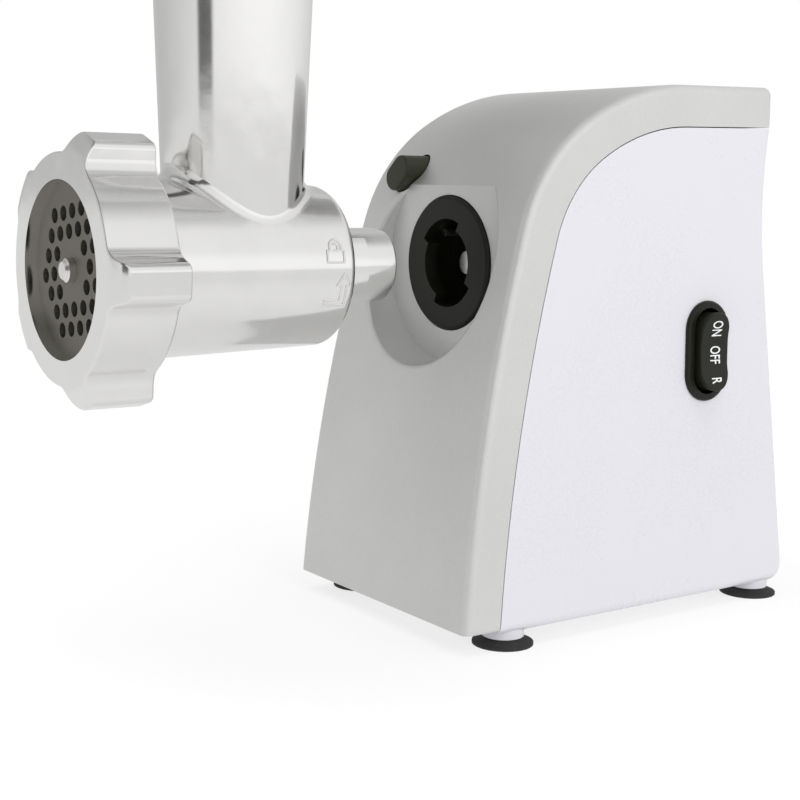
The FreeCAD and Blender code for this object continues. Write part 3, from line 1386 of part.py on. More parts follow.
def feed_tray():
    """Dished tray whose collar drops into the feed tube's mouth."""
    top = TRAY_FLOOR_Z + TRAY_DEPTH
    bowl = tray_bowl(0.0, TRAY_FLOOR_Z, top)
    hollow = tray_bowl(-TRAY_WALL, TRAY_FLOOR_Z + TRAY_WALL, top + 0.01)
    rim = rounded_slab(TRAY_HALF_WIDTH + 2.0, TRAY_FRONT_Y - 2.0, TRAY_REAR_Y + 2.0, TRAY_CORNER_R + 2.0,
                       top - TRAY_WALL, top)
    rim = rim.cut(tray_bowl(-TRAY_WALL, TRAY_FLOOR_Z, top + 0.01).fuse(hollow))
    collar_r = tube_top_inner_r() - TRAY_FIT
    collar = post(collar_r, TUBE_TOP_Z - TRAY_COLLAR_H, TRAY_FLOOR_Z + TRAY_WALL, 0, TUBE_Y)
    seat = post(TUBE_BEAD_R + 1.0, TUBE_TOP_Z, TRAY_FLOOR_Z + 0.5, 0, TUBE_Y)
    tray = union([bowl.cut(hollow), rim, collar, seat])
    return tray.cut(post(collar_r - TRAY_WALL, TUBE_TOP_Z - 40, TRAY_FLOOR_Z + 10, 0, TUBE_Y))


def food_pusher():
    """Hollow plunger with a wide cap that rests on the tray and a waisted grip."""
    rest = TRAY_FLOOR_Z + TRAY_WALL
    low = rest - PUSHER_LENGTH
    grip_top = rest + PUSHER_GRIP_H
    profile = [(0, low), (PUSHER_R - 1.0, low), (PUSHER_R, low + 1.0), (PUSHER_R, rest), (PUSHER_CAP_R - 1.0, rest),
               (PUSHER_CAP_R, rest + 1.0), (PUSHER_CAP_R, rest + 3.0), (PUSHER_CAP_R - 2.0, rest + 4.5),
               (PUSHER_R + 1.5, rest + 6.0), (PUSHER_R - 2.5, rest + 12.0), (PUSHER_R - 3.0, rest + 18.0),
               (PUSHER_R + 0.5, grip_top - 6.0), (PUSHER_R + 2.0, grip_top - 2.5), (PUSHER_R, grip_top), (0, grip_top)]
    body = revolve_about_z(profile, 0, TUBE_Y)
    hollow = post(PUSHER_R - PUSHER_WALL, low + PUSHER_WALL, rest, 0, TUBE_Y)
    upper = post(PUSHER_R - PUSHER_WALL - 4.0, rest - 0.01, grip_top + 1, 0, TUBE_Y)
    return body.cut(hollow.fuse(upper))


# ============================== the whole object ===========================================

def build():
    os.makedirs("parts", exist_ok=True)
    outer = housing_outer()
    inner = housing_inner()
    pieces = {
        "front_cover": front_cover(outer, inner),
        "body_shell": body_shell(outer, inner),
        "base_plate": base_plate(inner),
        "foot_pads": foot_pads(),
        "foot_screws": foot_screws(),
        "cord_gland": cord_gland(),
        "socket_ring": socket_ring(),
        "ring_screws": ring_screws(),
        "lock_button": lock_button(),
        "latch_pin": latch_pin(),
        "latch_spring": latch_spring(),
        "switch_bezel": switch_bezel(),
        "switch_body": switch_body(),
        "switch_rocker": switch_rocker(),
        "switch_pin": switch_pin(),
        "motor_pinion": motor_pinion(),
        "first_wheel": first_wheel(),
        "first_pinion": first_pinion(),
        "first_shaft": gear_shaft(axis_a()),
        "second_wheel": second_wheel(),
        "second_pinion": second_pinion(),
        "second_shaft": gear_shaft(axis_b()),
        "output_wheel": output_wheel(),
        "output_shaft": output_shaft(),
        "gearbox_housing": gearbox_housing(),
        "gearbox_plate": gearbox_plate(),
        "gearbox_screws": gearbox_screws(),
        "stator_core": stator_core(),
        "field_coils": field_coils(),
        "armature_core": armature_core(),
        "armature_winding": armature_winding(),
        "armature_shaft": armature_shaft(),
        "commutator": commutator(),
        "cooling_fan": cooling_fan(),
        "motor_bearings": motor_bearings(),
        "motor_bracket": motor_bracket(),
        "motor_screws": motor_screws(),
        "brush_holders": brush_holders(),
        "carbon_brushes": carbon_brushes(),
        "brush_springs": brush_springs(),
        "head_casting": head_casting(),
        "ring_nut": ring_nut(),
        "cutting_plate": cutting_plate(),
        "knife": knife(),
        "worm": worm(),
        "worm_pin": worm_pin(),
        "thrust_washer": thrust_washer(),
        "spigot_bush": spigot_bush(),
        "feed_tray": feed_tray(),
        "food_pusher": food_pusher(),
    }
    for name, shape in pieces.items():
        save(name, shape)


if __name__ == "__main__":
    build()
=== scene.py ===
import math

import bmesh
import bpy
from bpy.props import FloatProperty, FloatVectorProperty, PointerProperty
from bpy.types import Operator, Panel, PropertyGroup
from mathutils import Matrix, Vector
from mathutils.bvhtree import BVHTree


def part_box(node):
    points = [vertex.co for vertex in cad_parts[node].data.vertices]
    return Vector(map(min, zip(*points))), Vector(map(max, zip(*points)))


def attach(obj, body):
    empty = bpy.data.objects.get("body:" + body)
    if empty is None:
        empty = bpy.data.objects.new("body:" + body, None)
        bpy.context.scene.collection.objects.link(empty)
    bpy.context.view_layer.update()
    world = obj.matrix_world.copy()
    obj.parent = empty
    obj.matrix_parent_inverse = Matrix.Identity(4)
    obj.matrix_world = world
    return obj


bl_info = {
    "name": "Meat Grinder Looks",
    "version": (1, 0, 0),
    "blender": (4, 5, 0),
    "location": "3D View > Sidebar > Grinder",
    "description": "Finishes, markings and studio for an electric meat grinder",
    "category": "Object",
}

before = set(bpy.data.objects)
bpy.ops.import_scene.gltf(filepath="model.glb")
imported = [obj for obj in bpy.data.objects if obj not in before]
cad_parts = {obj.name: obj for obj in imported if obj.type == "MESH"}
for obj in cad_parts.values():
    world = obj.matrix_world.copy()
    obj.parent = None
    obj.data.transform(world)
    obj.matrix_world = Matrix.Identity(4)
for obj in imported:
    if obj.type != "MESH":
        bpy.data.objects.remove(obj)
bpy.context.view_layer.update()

HEAD_REAR_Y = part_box("head_casting")[1].y
ROCKER_LOW, ROCKER_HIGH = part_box("switch_rocker")
AXIS_Z = sum(corner.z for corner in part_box("cutting_plate")) / 2
MOTOR_Z = sum(corner.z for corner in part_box("armature_core")) / 2

BARREL_R = 0.0295           # barrel's radius where the lock marks sit
RAY_START_R = 0.06          # rays that find the barrel's surface start this far from its axis
MARKS_FROM_REAR = 0.0363    # lock marks' middle, ahead of the casting's rear end
PADLOCK_UP = 0.0029         # along the barrel's surface, from the level of its axis
ARROW_UP = -0.0125
ARROW_FORWARD = 0.0015
LEGENDS = (("ON", 0.0091), ("OFF", -0.0012), ("R", -0.0110))
INK_LIFT = 0.00008


# ============================== sizes and colours ==========================================

class HousingColours(PropertyGroup):
    cover: FloatVectorProperty(
        name="Cover paint", description="Metallic paint on the front cover",
        subtype="COLOR", size=3, min=0, max=1, default=(0.64, 0.64, 0.63))
    shell: FloatVectorProperty(
        name="Rear shell", description="Moulded plastic of the rear shell and base",
        subtype="COLOR", size=3, min=0, max=1, default=(0.63, 0.625, 0.665))
    black: FloatVectorProperty(
        name="Black parts", description="Moulded plastic of the socket ring, button and switch",
        subtype="COLOR", size=3, min=0, max=1, default=(0.0062, 0.0068, 0.0036))
    flake: FloatProperty(
        name="Flake", description="How strongly the paint's metal flake shows",
        min=0, max=1, default=0.35)


class MetalColours(PropertyGroup):
    casting: FloatVectorProperty(
        name="Polished casting", description="Aluminium of the head and its nut",
        subtype="COLOR", size=3, min=0, max=1, default=(0.90, 0.895, 0.885))
    plate: FloatVectorProperty(
        name="Cutting steel", description="Ground steel of the plate and the knife",
        subtype="COLOR", size=3, min=0, max=1, default=(0.22, 0.208, 0.185))
    ripple: FloatProperty(
        name="Casting ripple", description="Depth of the waves left by polishing",
        unit="LENGTH", min=0, max=0.001, default=0.00012)


class MarkSizes(PropertyGroup):
    line: FloatProperty(
        name="Mark line", description="Radius of the raised line of the lock marks",
        unit="LENGTH", min=0.0001, max=0.001, default=0.00034)
    padlock_width: FloatProperty(
        name="Padlock width", description="Width of the padlock mark's body",
        unit="LENGTH", min=0.002, max=0.02, default=0.0068)
    arrow_height: FloatProperty(
        name="Arrow height", description="Height of the bent arrow mark",
        unit="LENGTH", min=0.004, max=0.03, default=0.0115)
    letter: FloatProperty(
        name="Letter height", description="Height of the switch legends",
        unit="LENGTH", min=0.001, max=0.008, default=0.0054)


class StudioLight(PropertyGroup):
    key: FloatProperty(
        name="Key light", description="Power of the soft box on the switch side",
        min=0, max=500, default=12.5)
    fill: FloatProperty(
        name="Fill light", description="Power of the soft box in front of the cover",
        min=0, max=500, default=0.2)
    left: FloatProperty(
        name="Left light", description="Power of the high soft box in front on the left",
        min=0, max=500, default=13.0)
    top: FloatProperty(
        name="Top light", description="Power of the overhead soft box",
        min=0, max=500, default=14.0)
    room: FloatProperty(
        name="Room", description="Brightness of the pale room around the object",
        min=0, max=5, default=0.9)
    lens: FloatProperty(
        name="Lens", description="Focal length of the camera, in millimetres",
        min=20, max=200, default=66.94)


# ============================== shader maths ===============================================

class Flow:
    """A number flowing through a node tree. Python's operators add Math nodes to it."""

    def __init__(self, tree, socket):
        self.tree = tree
        self.socket = socket

    def math(self, operation, *others):
        node = self.tree.nodes.new("ShaderNodeMath")
        node.operation = operation
        for place, value in enumerate((self,) + others):
            if isinstance(value, Flow):
                self.tree.links.new(value.socket, node.inputs[place])
            else:
                node.inputs[place].default_value = value
        return Flow(self.tree, node.outputs[0])

    def swapped(self, operation, first):
        node = self.tree.nodes.new("ShaderNodeMath")
        node.operation = operation
        node.inputs[0].default_value = first
        self.tree.links.new(self.socket, node.inputs[1])
        return Flow(self.tree, node.outputs[0])

    def __add__(self, other):
        return self.math("ADD", other)

    __radd__ = __add__

    def __sub__(self, other):
        return self.math("SUBTRACT", other)

    def __rsub__(self, other):
        return self.swapped("SUBTRACT", other)

    def __mul__(self, other):
        return self.math("MULTIPLY", other)

    __rmul__ = __mul__

    def __truediv__(self, other):
        return self.math("DIVIDE", other)

    def __pow__(self, other):
        return self.math("POWER", other)

    def clamp(self):
        result = self.math("ADD", 0.0)
        result.socket.node.use_clamp = True
        return result

    def step(self, low, high):
        """0 below low, 1 above high, smooth between."""
        node = self.tree.nodes.new("ShaderNodeMapRange")
        node.interpolation_type = "SMOOTHSTEP"
        node.inputs["From Min"].default_value = low
        node.inputs["From Max"].default_value = high
        self.tree.links.new(self.socket, node.inputs["Value"])
        return Flow(self.tree, node.outputs["Result"])

    def band(self, middle, half_width, soft):
        """1 within half_width of middle, fading to 0 over soft."""
        distance = (self - middle).math("ABSOLUTE")
        return 1.0 - distance.step(half_width, half_width + soft)


class Finish:
    """A material or world being built: makes nodes and hands out flows."""

    def __init__(self, name, holder=None):
        self.holder = holder or bpy.data.materials.new(name)
        self.holder.use_nodes = True
        self.tree = self.holder.node_tree
        self.shader = self.tree.nodes.get("Principled BSDF")

    def node(self, kind, settings=None, inputs=None):
        node = self.tree.nodes.new(kind)
        for key, value in (settings or {}).items():
            setattr(node, key, value)
        for key, value in (inputs or {}).items():
            self.feed(node.inputs[key], value)
        return node

    def feed(self, socket, value):
        if isinstance(value, Flow):
            self.tree.links.new(value.socket, socket)
        elif isinstance(value, bpy.types.NodeSocket):
            self.tree.links.new(value, socket)
        else:
            socket.default_value = value

    def set(self, **constants):
        """Constants straight on the shader's sockets: coat_weight=0.3 sets Coat Weight."""
        for key, value in constants.items():
            name = key.replace("_", " ").title().replace("Ior", "IOR")
            self.shader.inputs[name].default_value = value

    def drive(self, name, value):
        self.feed(self.shader.inputs[name], value)

    def position(self, centre=(0, 0, 0)):
        """Object coordinates in metres, measured from centre."""
        place = self.node("ShaderNodeTexCoord").outputs["Object"]
        offset = self.node("ShaderNodeVectorMath", {"operation": "SUBTRACT"}, {0: place, 1: centre})
        return offset.outputs["Vector"]

    def axes(self, centre=(0, 0, 0)):
        split = self.node("ShaderNodeSeparateXYZ", None, {"Vector": self.position(centre)})
        return [Flow(self.tree, split.outputs[k]) for k in range(3)]

    def noise(self, scale, detail=2.0, roughness=0.5, stretch=(1, 1, 1)):
        """Noise from 0 to 1; scale is in features per metre."""
        mapping = self.node("ShaderNodeMapping", None, {"Vector": self.position(), "Scale": stretch})
        texture = self.node("ShaderNodeTexNoise", None, {
            "Vector": mapping.outputs[0], "Scale": scale, "Detail": detail, "Roughness": roughness})
        return Flow(self.tree, texture.outputs["Fac"])

    def cells(self, scale, feature="F1"):
        texture = self.node("ShaderNodeTexVoronoi", {"feature": feature}, {
            "Vector": self.position(), "Scale": scale})
        return Flow(self.tree, texture.outputs["Distance"])

    def colours(self, first, second, share):
        """Mix of two colours by a flow from 0 to 1."""
        mix = self.node("ShaderNodeMix", {"data_type": "RGBA"}, {
            0: share, 6: (*first, 1.0), 7: (*second, 1.0)})
        return mix.outputs[2]

    def relief(self, height, distance, strength=1.0):
        """Bump from a height flow; distance is the height of 1 in metres."""
        bump = self.node("ShaderNodeBump", None, {
            "Height": height, "Distance": distance, "Strength": strength})
        self.drive("Normal", bump.outputs["Normal"])


def lighter(colour, factor):
    return tuple(min(1.0, c * factor) for c in colour)


# ============================== materials ==================================================

def metallic_paint(name, colour, flake):
    """Satin silver paint: fine flake under a thin clear coat, with faint handling marks."""
    finish = Finish(name)
    grain = finish.noise(5200.0, 2.0)
    cloud = finish.noise(28.0, 3.0)
    share = (grain.step(0.38, 0.66) * flake + cloud * 0.3).clamp()
    finish.drive("Base Color", finish.colours(lighter(colour, 0.86), lighter(colour, 1.24), share))
    finish.drive("Roughness", 0.33 + 0.10 * grain + 0.06 * cloud)
    finish.set(metallic=0.55, coat_weight=0.16, coat_roughness=0.22)
    finish.relief(grain + finish.noise(900.0) * 2.0, 0.000012, 0.5)
    return finish.holder


def moulded_gloss(name, colour, rough=0.24):
    """Glossy moulding: very slight mottling and orange peel."""
    finish = Finish(name)
    cloud = finish.noise(22.0, 3.0)
    peel = finish.noise(420.0, 1.0)
    finish.drive("Base Color", finish.colours(lighter(colour, 0.975), lighter(colour, 1.02), cloud))
    finish.drive("Roughness", rough + 0.03 * peel + 0.05 * cloud)
    finish.set(coat_weight=0.25, coat_roughness=0.12)
    finish.relief(peel, 0.00003, 0.12)
    return finish.holder


def moulded_grain(name, colour, rough=0.42, grain_size=0.0006):
    """Black moulding with a fine spark-eroded grain and slightly paler high spots."""
    finish = Finish(name)
    grain = finish.noise(1.0 / grain_size, 3.0, 0.65)
    cloud = finish.noise(40.0, 2.0)
    share = (grain.step(0.35, 0.75) * 0.7 + cloud * 0.3).clamp()
    finish.drive("Base Color", finish.colours(lighter(colour, 0.75), lighter(colour, 1.5), share))
    finish.drive("Roughness", rough + 0.14 * grain)
    finish.shader.inputs["Specular IOR Level"].default_value = 0.3
    finish.relief(grain, 0.00006, 0.5)
    return finish.holder


def soft_rubber(name, colour):
    finish = Finish(name)
    dust = finish.noise(160.0, 4.0, 0.6)
    grain = finish.noise(2600.0, 2.0)
    finish.drive("Base Color", finish.colours(colour, lighter(colour, 2.4), dust.step(0.5, 0.85)))
    finish.drive("Roughness", 0.62 + 0.2 * dust)
    finish.relief(grain, 0.00008, 0.6)
    return finish.holder


def polished_casting(name, colour, ripple):
    """Mirror-polished aluminium: gentle waves, fine polishing lines, a few dull patches."""
    finish = Finish(name)
    waves = finish.noise(46.0, 2.0, 0.45)
    lines = finish.noise(900.0, 3.0, 0.6, (1.0, 0.05, 1.0))
    haze = finish.noise(90.0, 4.0, 0.6)
    tint = (haze * 0.7 + waves * 0.3).clamp()
    finish.drive("Base Color", finish.colours(lighter(colour, 0.93), lighter(colour, 1.03), tint))
    finish.drive("Roughness", 0.075 + 0.07 * lines + 0.10 * haze.step(0.5, 0.8))
    finish.set(metallic=1.0)
    finish.relief(waves + lines * 0.02, ripple, 1.0)
    return finish.holder


def brushed_sheet(name, colour):
    """Polished pressed sheet with fine drawing lines along its length."""
    finish = Finish(name)
    lines = finish.noise(1500.0, 3.0, 0.6, (1.0, 0.03, 1.0))
    cloud = finish.noise(30.0, 3.0)
    finish.drive("Base Color", finish.colours(lighter(colour, 0.92), lighter(colour, 1.05), cloud))
    finish.drive("Roughness", 0.17 + 0.14 * lines + 0.06 * cloud)
    finish.set(metallic=1.0)
    finish.relief(lines, 0.00001, 0.6)
    return finish.holder


def turned_steel(name, colour, centre, axis="Y", rough=0.26):
    """Steel faced in a lathe: fine rings about its axis and slight staining."""
    finish = Finish(name)
    x, y, z = finish.axes(centre)
    across = {"X": (y, z), "Y": (x, z), "Z": (x, y)}[axis]
    radius = (across[0] ** 2.0 + across[1] ** 2.0).math("SQRT")
    rings = (radius * 9000.0).math("SINE") * 0.5 + 0.5
    stain = finish.noise(120.0, 4.0, 0.6)
    share = (rings * 0.35 + stain * 0.65).clamp()
    finish.drive("Base Color", finish.colours(lighter(colour, 0.8), lighter(colour, 1.25), share))
    finish.drive("Roughness", rough + 0.12 * stain + 0.06 * rings)
    finish.set(metallic=1.0)
    finish.relief(rings, 0.000006, 0.6)
    return finish.holder


def plated_steel(name, colour, rough=0.3):
    finish = Finish(name)
    cloud = finish.noise(300.0, 3.0)
    fine = finish.noise(3000.0, 2.0)
    finish.drive("Base Color", finish.colours(lighter(colour, 0.85), lighter(colour, 1.12), cloud))
    finish.drive("Roughness", rough + 0.15 * fine)
    finish.set(metallic=1.0)
    finish.relief(fine, 0.00001, 0.5)
    return finish.holder


def raw_casting(name, colour):
    """Die-cast alloy as it leaves the mould."""
    finish = Finish(name)
    grain = finish.noise(1400.0, 4.0, 0.7)
    cloud = finish.noise(35.0, 3.0)
    finish.drive("Base Color", finish.colours(lighter(colour, 0.75), lighter(colour, 1.1), cloud))
    finish.drive("Roughness", 0.45 + 0.2 * grain)
    finish.set(metallic=0.9)
    finish.relief(grain, 0.00008, 0.6)
    return finish.holder


def laminations(name, colour):
    """Stacked steel sheets, half a millimetre each, with dark varnish between them."""
    finish = Finish(name)
    depth = finish.axes()[1]
    sheets = (depth * (2 * math.pi / 0.0005)).math("SINE") * 0.5 + 0.5
    rust = finish.noise(200.0, 3.0)
    share = (sheets * 0.6 + rust * 0.4).clamp()
    finish.drive("Base Color", finish.colours(lighter(colour, 0.5), lighter(colour, 1.2), share))
    finish.drive("Roughness", 0.4 + 0.2 * rust)
    finish.set(metallic=0.85)
    finish.relief(sheets, 0.00004, 0.5)
    return finish.holder


def wound_copper(name, colour, strand=0.0007):
    """Varnished copper wire, shown as strands side by side."""
    finish = Finish(name)
    x, y, z = finish.axes()
    strands = ((x + z * 0.15) * (2 * math.pi / strand)).math("SINE") * 0.5 + 0.5
    varnish = finish.noise(150.0, 3.0)
    finish.drive("Base Color", finish.colours(lighter(colour, 0.55), lighter(colour, 1.2),
                                              (strands * 0.6 + varnish * 0.4).clamp()))
    finish.drive("Roughness", 0.25 + 0.2 * varnish)
    finish.set(metallic=0.8, coat_weight=0.4, coat_roughness=0.2)
    finish.relief(strands, 0.0002, 0.7)
    return finish.holder


def natural_nylon(name, colour):
    finish = Finish(name)
    cloud = finish.noise(60.0, 3.0)
    flow = finish.noise(700.0, 3.0, 0.6, (1.0, 0.2, 1.0))
    finish.drive("Base Color", finish.colours(lighter(colour, 0.9), lighter(colour, 1.05), cloud))
    finish.drive("Roughness", 0.36 + 0.12 * flow)
    finish.relief(flow, 0.00003, 0.5)
    return finish.holder


def pressed_carbon(name, colour):
    finish = Finish(name)
    grain = finish.cells(2400.0)
    fine = finish.noise(3000.0, 3.0)
    finish.drive("Base Color", finish.colours(colour, lighter(colour, 2.2), fine))
    finish.drive("Roughness", 0.55 + 0.2 * fine)
    finish.relief(grain, 0.0001, 0.6)
    return finish.holder


def printed_ink(name, colour):
    finish = Finish(name)
    speckle = finish.noise(2500.0, 2.0)
    finish.drive("Base Color", finish.colours(lighter(colour, 0.9), lighter(colour, 1.05), speckle))
    finish.drive("Roughness", 0.45 + 0.15 * speckle)
    return finish.holder


def pale_floor(name):
    """Pale paper floor that glows and brightens into the white backdrop away from the object; where the
    polished metal mirrors it, it is painted darker, a painted shade on its reflections.
    """
    finish = Finish(name)
    cloud = finish.noise(3.0, 3.0)
    fine = finish.noise(260.0, 2.0)
    mirrored = Flow(finish.tree, finish.node("ShaderNodeLightPath").outputs["Is Glossy Ray"])
    # The paper's colour, painted 22 % darker for glossy rays: painted shade on the floor's reflections in the
    # metal.
    paper_with_painted_reflection_shade = (0.94 - 0.04 * cloud) * (1.0 - 0.22 * mirrored)
    finish.drive("Base Color", finish.colours((0.0, 0.0, 0.0), (1.0, 1.0, 1.0), paper_with_painted_reflection_shade))
    finish.drive("Roughness", 0.55 + 0.15 * fine)
    x, y, z = finish.axes()
    radius = (x ** 2.0 + y ** 2.0).math("SQRT")
    # The glow is painted grey (0.76) for glossy rays, more painted shade on the floor's reflections; it is
    # mixed in more strongly away from the object.
    glow = finish.node("ShaderNodeEmission", None, {
        "Color": finish.colours((1.0, 1.0, 1.0), (0.76, 0.76, 0.76), mirrored), "Strength": 1.0})
    blend = finish.node("ShaderNodeMixShader", None, {0: 0.70 + 0.30 * radius.step(0.18, 0.70)})
    finish.tree.links.new(finish.shader.outputs[0], blend.inputs[1])
    finish.tree.links.new(glow.outputs[0], blend.inputs[2])
    finish.tree.links.new(blend.outputs[0], finish.tree.nodes["Material Output"].inputs["Surface"])
    return finish.holder


def paint(node, material):
    """Give a CAD node its finish."""
    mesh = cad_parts[node].data
    mesh.materials.clear()
    mesh.materials.append(material)


def paint_all(material, *nodes):
    for node in nodes:
        paint(node, material)


# ============================== pieces =====================================================

def new_piece(name, mesh, material, body):
    piece = bpy.data.objects.new(name, mesh)
    bpy.context.scene.collection.objects.link(piece)
    mesh.materials.clear()
    mesh.materials.append(material)
    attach(piece, body)
    return piece


def surface_tree(node):
    bm = bmesh.new()
    bm.from_mesh(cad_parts[node].data)
    tree = BVHTree.FromBMesh(bm)
    bm.free()
    return tree


def line_on_surface(tree, flat_points, start, direction, lift):
    """Drop points onto a surface along direction and lift them off it again."""
    placed = []
    for point in flat_points:
        hit, normal, index, distance = tree.ray_cast(start(point), direction(point))
        if hit is None:
            raise RuntimeError("a mark misses the surface it should lie on")
        placed.append(hit - direction(point) * lift)
    return placed


def tube_mesh(name, lines, radius, closed):
    """One mesh of round lines through the points, with rounded ends."""
    curve = bpy.data.curves.new(name, "CURVE")
    curve.dimensions = "3D"
    curve.bevel_depth = radius
    curve.bevel_resolution = 2
    curve.use_fill_caps = True
    for points, is_closed in zip(lines, closed):
        spline = curve.splines.new("POLY")
        spline.points.add(len(points) - 1)
        for target, point in zip(spline.points, points):
            target.co = (*point, 1.0)
        spline.use_cyclic_u = is_closed
    holder = bpy.data.objects.new(name + "_line", curve)
    mesh = bpy.data.meshes.new_from_object(holder)
    bpy.data.objects.remove(holder)
    mesh.name = name
    return mesh


def arc_points(centre, radius, start, end, count):
    points = []
    for k in range(count + 1):
        a = math.radians(start + (end - start) * k / count)
        points.append((centre[0] + radius * math.cos(a), centre[1] + radius * math.sin(a)))
    return points


def dense(points, step, closed=False):
    """The same outline with points at most step apart."""
    result = []
    ring = points + points[:1] if closed else points
    for (u0, v0), (u1, v1) in zip(ring, ring[1:]):
        count = max(1, math.ceil(math.hypot(u1 - u0, v1 - v0) / step))
        result += [(u0 + (u1 - u0) * k / count, v0 + (v1 - v0) * k / count) for k in range(count)]
    return result if closed else result + [points[-1]]


def onto_barrel(tree, outline, y, height, lift):
    """Wrap a flat mark (along +Y, up) round the barrel's switch side at y and height."""
    def angle(point):
        return (height + point[1]) / BARREL_R

    def start(point):
        a = angle(point)
        return Vector((RAY_START_R * math.cos(a), y + point[0], AXIS_Z + RAY_START_R * math.sin(a)))

    def inwards(point):
        a = angle(point)
        return Vector((-math.cos(a), 0, -math.sin(a)))
    return line_on_surface(tree, outline, start, inwards, lift)


def padlock_outlines(width):
    """Open padlock: a body with a notch at each upper corner, a shackle around an eye."""
    half = width / 2
    body_top = width * 0.62
    shackle = width * 0.34
    shoulder = width * 0.86
    outer = [(-half, 0), (half, 0), (half, body_top), (shackle, body_top), (shackle, shoulder)]
    outer += arc_points((0, shoulder), shackle, 0, 180, 20)
    outer += [(-shackle, body_top), (-half, body_top)]
    eye = [(-width * 0.12, body_top), (width * 0.14, body_top), (width * 0.14, shoulder)]
    eye += arc_points((0, shoulder), width * 0.14, 0, 150, 8)
    return outer, eye


def arrow_outline(height):
    """Arrow pointing up with its tail bent towards the front."""
    shaft = height * 0.09
    head = height * 0.26
    neck = height * 0.62
    tail = height * 0.16
    tail_end = -height * 0.45
    return [(tail_end, 0), (shaft * 3.0, 0), (shaft * 3.0, neck), (head + shaft * 2.0, neck),
            (shaft * 2.0, height), (-head + shaft * 2.0, neck), (shaft, neck),
            (shaft, tail), (tail_end, tail)]


def lock_marks(sizes, material):
    """Raised padlock and bent arrow near the barrel's rear end, on the switch side."""
    tree = surface_tree("head_casting")
    mark_y = HEAD_REAR_Y - MARKS_FROM_REAR
    lift = sizes.line * 0.45
    step = 0.0004
    outer, eye = padlock_outlines(sizes.padlock_width)
    arrow = arrow_outline(sizes.arrow_height)
    lines = [
        onto_barrel(tree, dense(outer, step, True), mark_y, PADLOCK_UP, lift),
        onto_barrel(tree, dense(eye, step), mark_y, PADLOCK_UP, lift),
        onto_barrel(tree, dense(arrow, step, True), mark_y + ARROW_FORWARD, ARROW_UP, lift),
    ]
    mesh = tube_mesh("lock_marks", lines, sizes.line, [True, False, True])
    mesh.shade_smooth()
    new_piece("lock_marks", mesh, material, "head")


def legend_mesh(text, height, narrow=0.52):
    """A short word as a flat mesh in the XY plane, centred on the origin."""
    font = bpy.data.curves.new(text, "FONT")
    font.body = text
    font.size = height / 0.7
    font.align_x = "CENTER"
    font.align_y = "CENTER"
    font.offset = height * 0.012
    font.resolution_u = 6
    holder = bpy.data.objects.new(text, font)
    mesh = bpy.data.meshes.new_from_object(holder)
    bpy.data.objects.remove(holder)
    for vertex in mesh.vertices:
        vertex.co.x *= narrow
    return mesh


def switch_legends(sizes, material):
    """Words along the rocker, read from above down, laid on its saddle."""
    tree = surface_tree("switch_rocker")
    middle_y = (ROCKER_LOW.y + ROCKER_HIGH.y) / 2
    middle_z = (ROCKER_LOW.z + ROCKER_HIGH.z) / 2
    out_x = ROCKER_HIGH.x + 0.01
    for text, offset in LEGENDS:
        mesh = legend_mesh(text, sizes.letter)
        for vertex in mesh.vertices:
            along, up = vertex.co.x, vertex.co.y
            start = Vector((out_x, middle_y + up, middle_z + offset - along))
            hit, normal, index, distance = tree.ray_cast(start, Vector((-1, 0, 0)))
            if hit is None:
                raise RuntimeError("a legend misses the rocker")
            vertex.co = hit + Vector((INK_LIFT, 0, 0))
        bm = bmesh.new()
        bm.from_mesh(mesh)
        bmesh.ops.recalc_face_normals(bm, faces=bm.faces)
        if sum((face.normal.x * face.calc_area() for face in bm.faces)) < 0:
            bmesh.ops.reverse_faces(bm, faces=bm.faces)
        bm.to_mesh(mesh)
        bm.free()
        mesh.name = "legend_" + text.lower()
        new_piece("legend_" + text.lower(), mesh, material, "switch_rocker")


# ============================== operators ==================================================

class GRINDER_OT_housing(Operator):
    """Finish the front cover, the rear shell, the base and the feet"""
    bl_idname = "grinder.housing"
    bl_label = "Housing"

    def execute(self, context):
        colours = context.scene.grinder_housing
        silver = metallic_paint("Satin silver paint", tuple(colours.cover), colours.flake)
        white = moulded_gloss("White moulding", tuple(colours.shell))
        paint("front_cover", silver)
        paint_all(white, "body_shell", "base_plate")
        paint("foot_pads", soft_rubber("Foot rubber", (0.018, 0.018, 0.017)))
        paint("foot_screws", plated_steel("Zinc screws", (0.62, 0.62, 0.64)))
        return {"FINISHED"}


class GRINDER_OT_socket(Operator):
    """Finish the bayonet ring, its screws, the lock and the cord gland"""
    bl_idname = "grinder.socket"
    bl_label = "Socket And Lock"

    def execute(self, context):
        black = tuple(context.scene.grinder_housing.black)
        paint("socket_ring", moulded_grain("Ring plastic", black, 0.40))
        paint("lock_button", moulded_grain("Button plastic", lighter(black, 4.2), 0.34, 0.0004))
        paint("cord_gland", moulded_grain("Gland plastic", black, 0.5))
        steel = plated_steel("Lock steel", (0.72, 0.72, 0.72), 0.2)
        paint_all(steel, "ring_screws", "latch_pin", "latch_spring")
        return {"FINISHED"}


class GRINDER_OT_switch(Operator):
    """Finish the rocker switch and print its legends"""
    bl_idname = "grinder.switch"
    bl_label = "Switch"

    def execute(self, context):
        black = tuple(context.scene.grinder_housing.black)
        paint("switch_bezel", moulded_grain("Bezel plastic", lighter(black, 1.1), 0.36, 0.0004))
        paint("switch_rocker", moulded_grain("Rocker plastic", lighter(black, 1.2), 0.32, 0.0004))
        paint("switch_body", moulded_grain("Switch body", black, 0.5))
        paint("switch_pin", plated_steel("Axle steel", (0.7, 0.7, 0.7), 0.2))
        switch_legends(context.scene.grinder_marks, printed_ink("Legend ink", (0.80, 0.82, 0.82)))
        return {"FINISHED"}


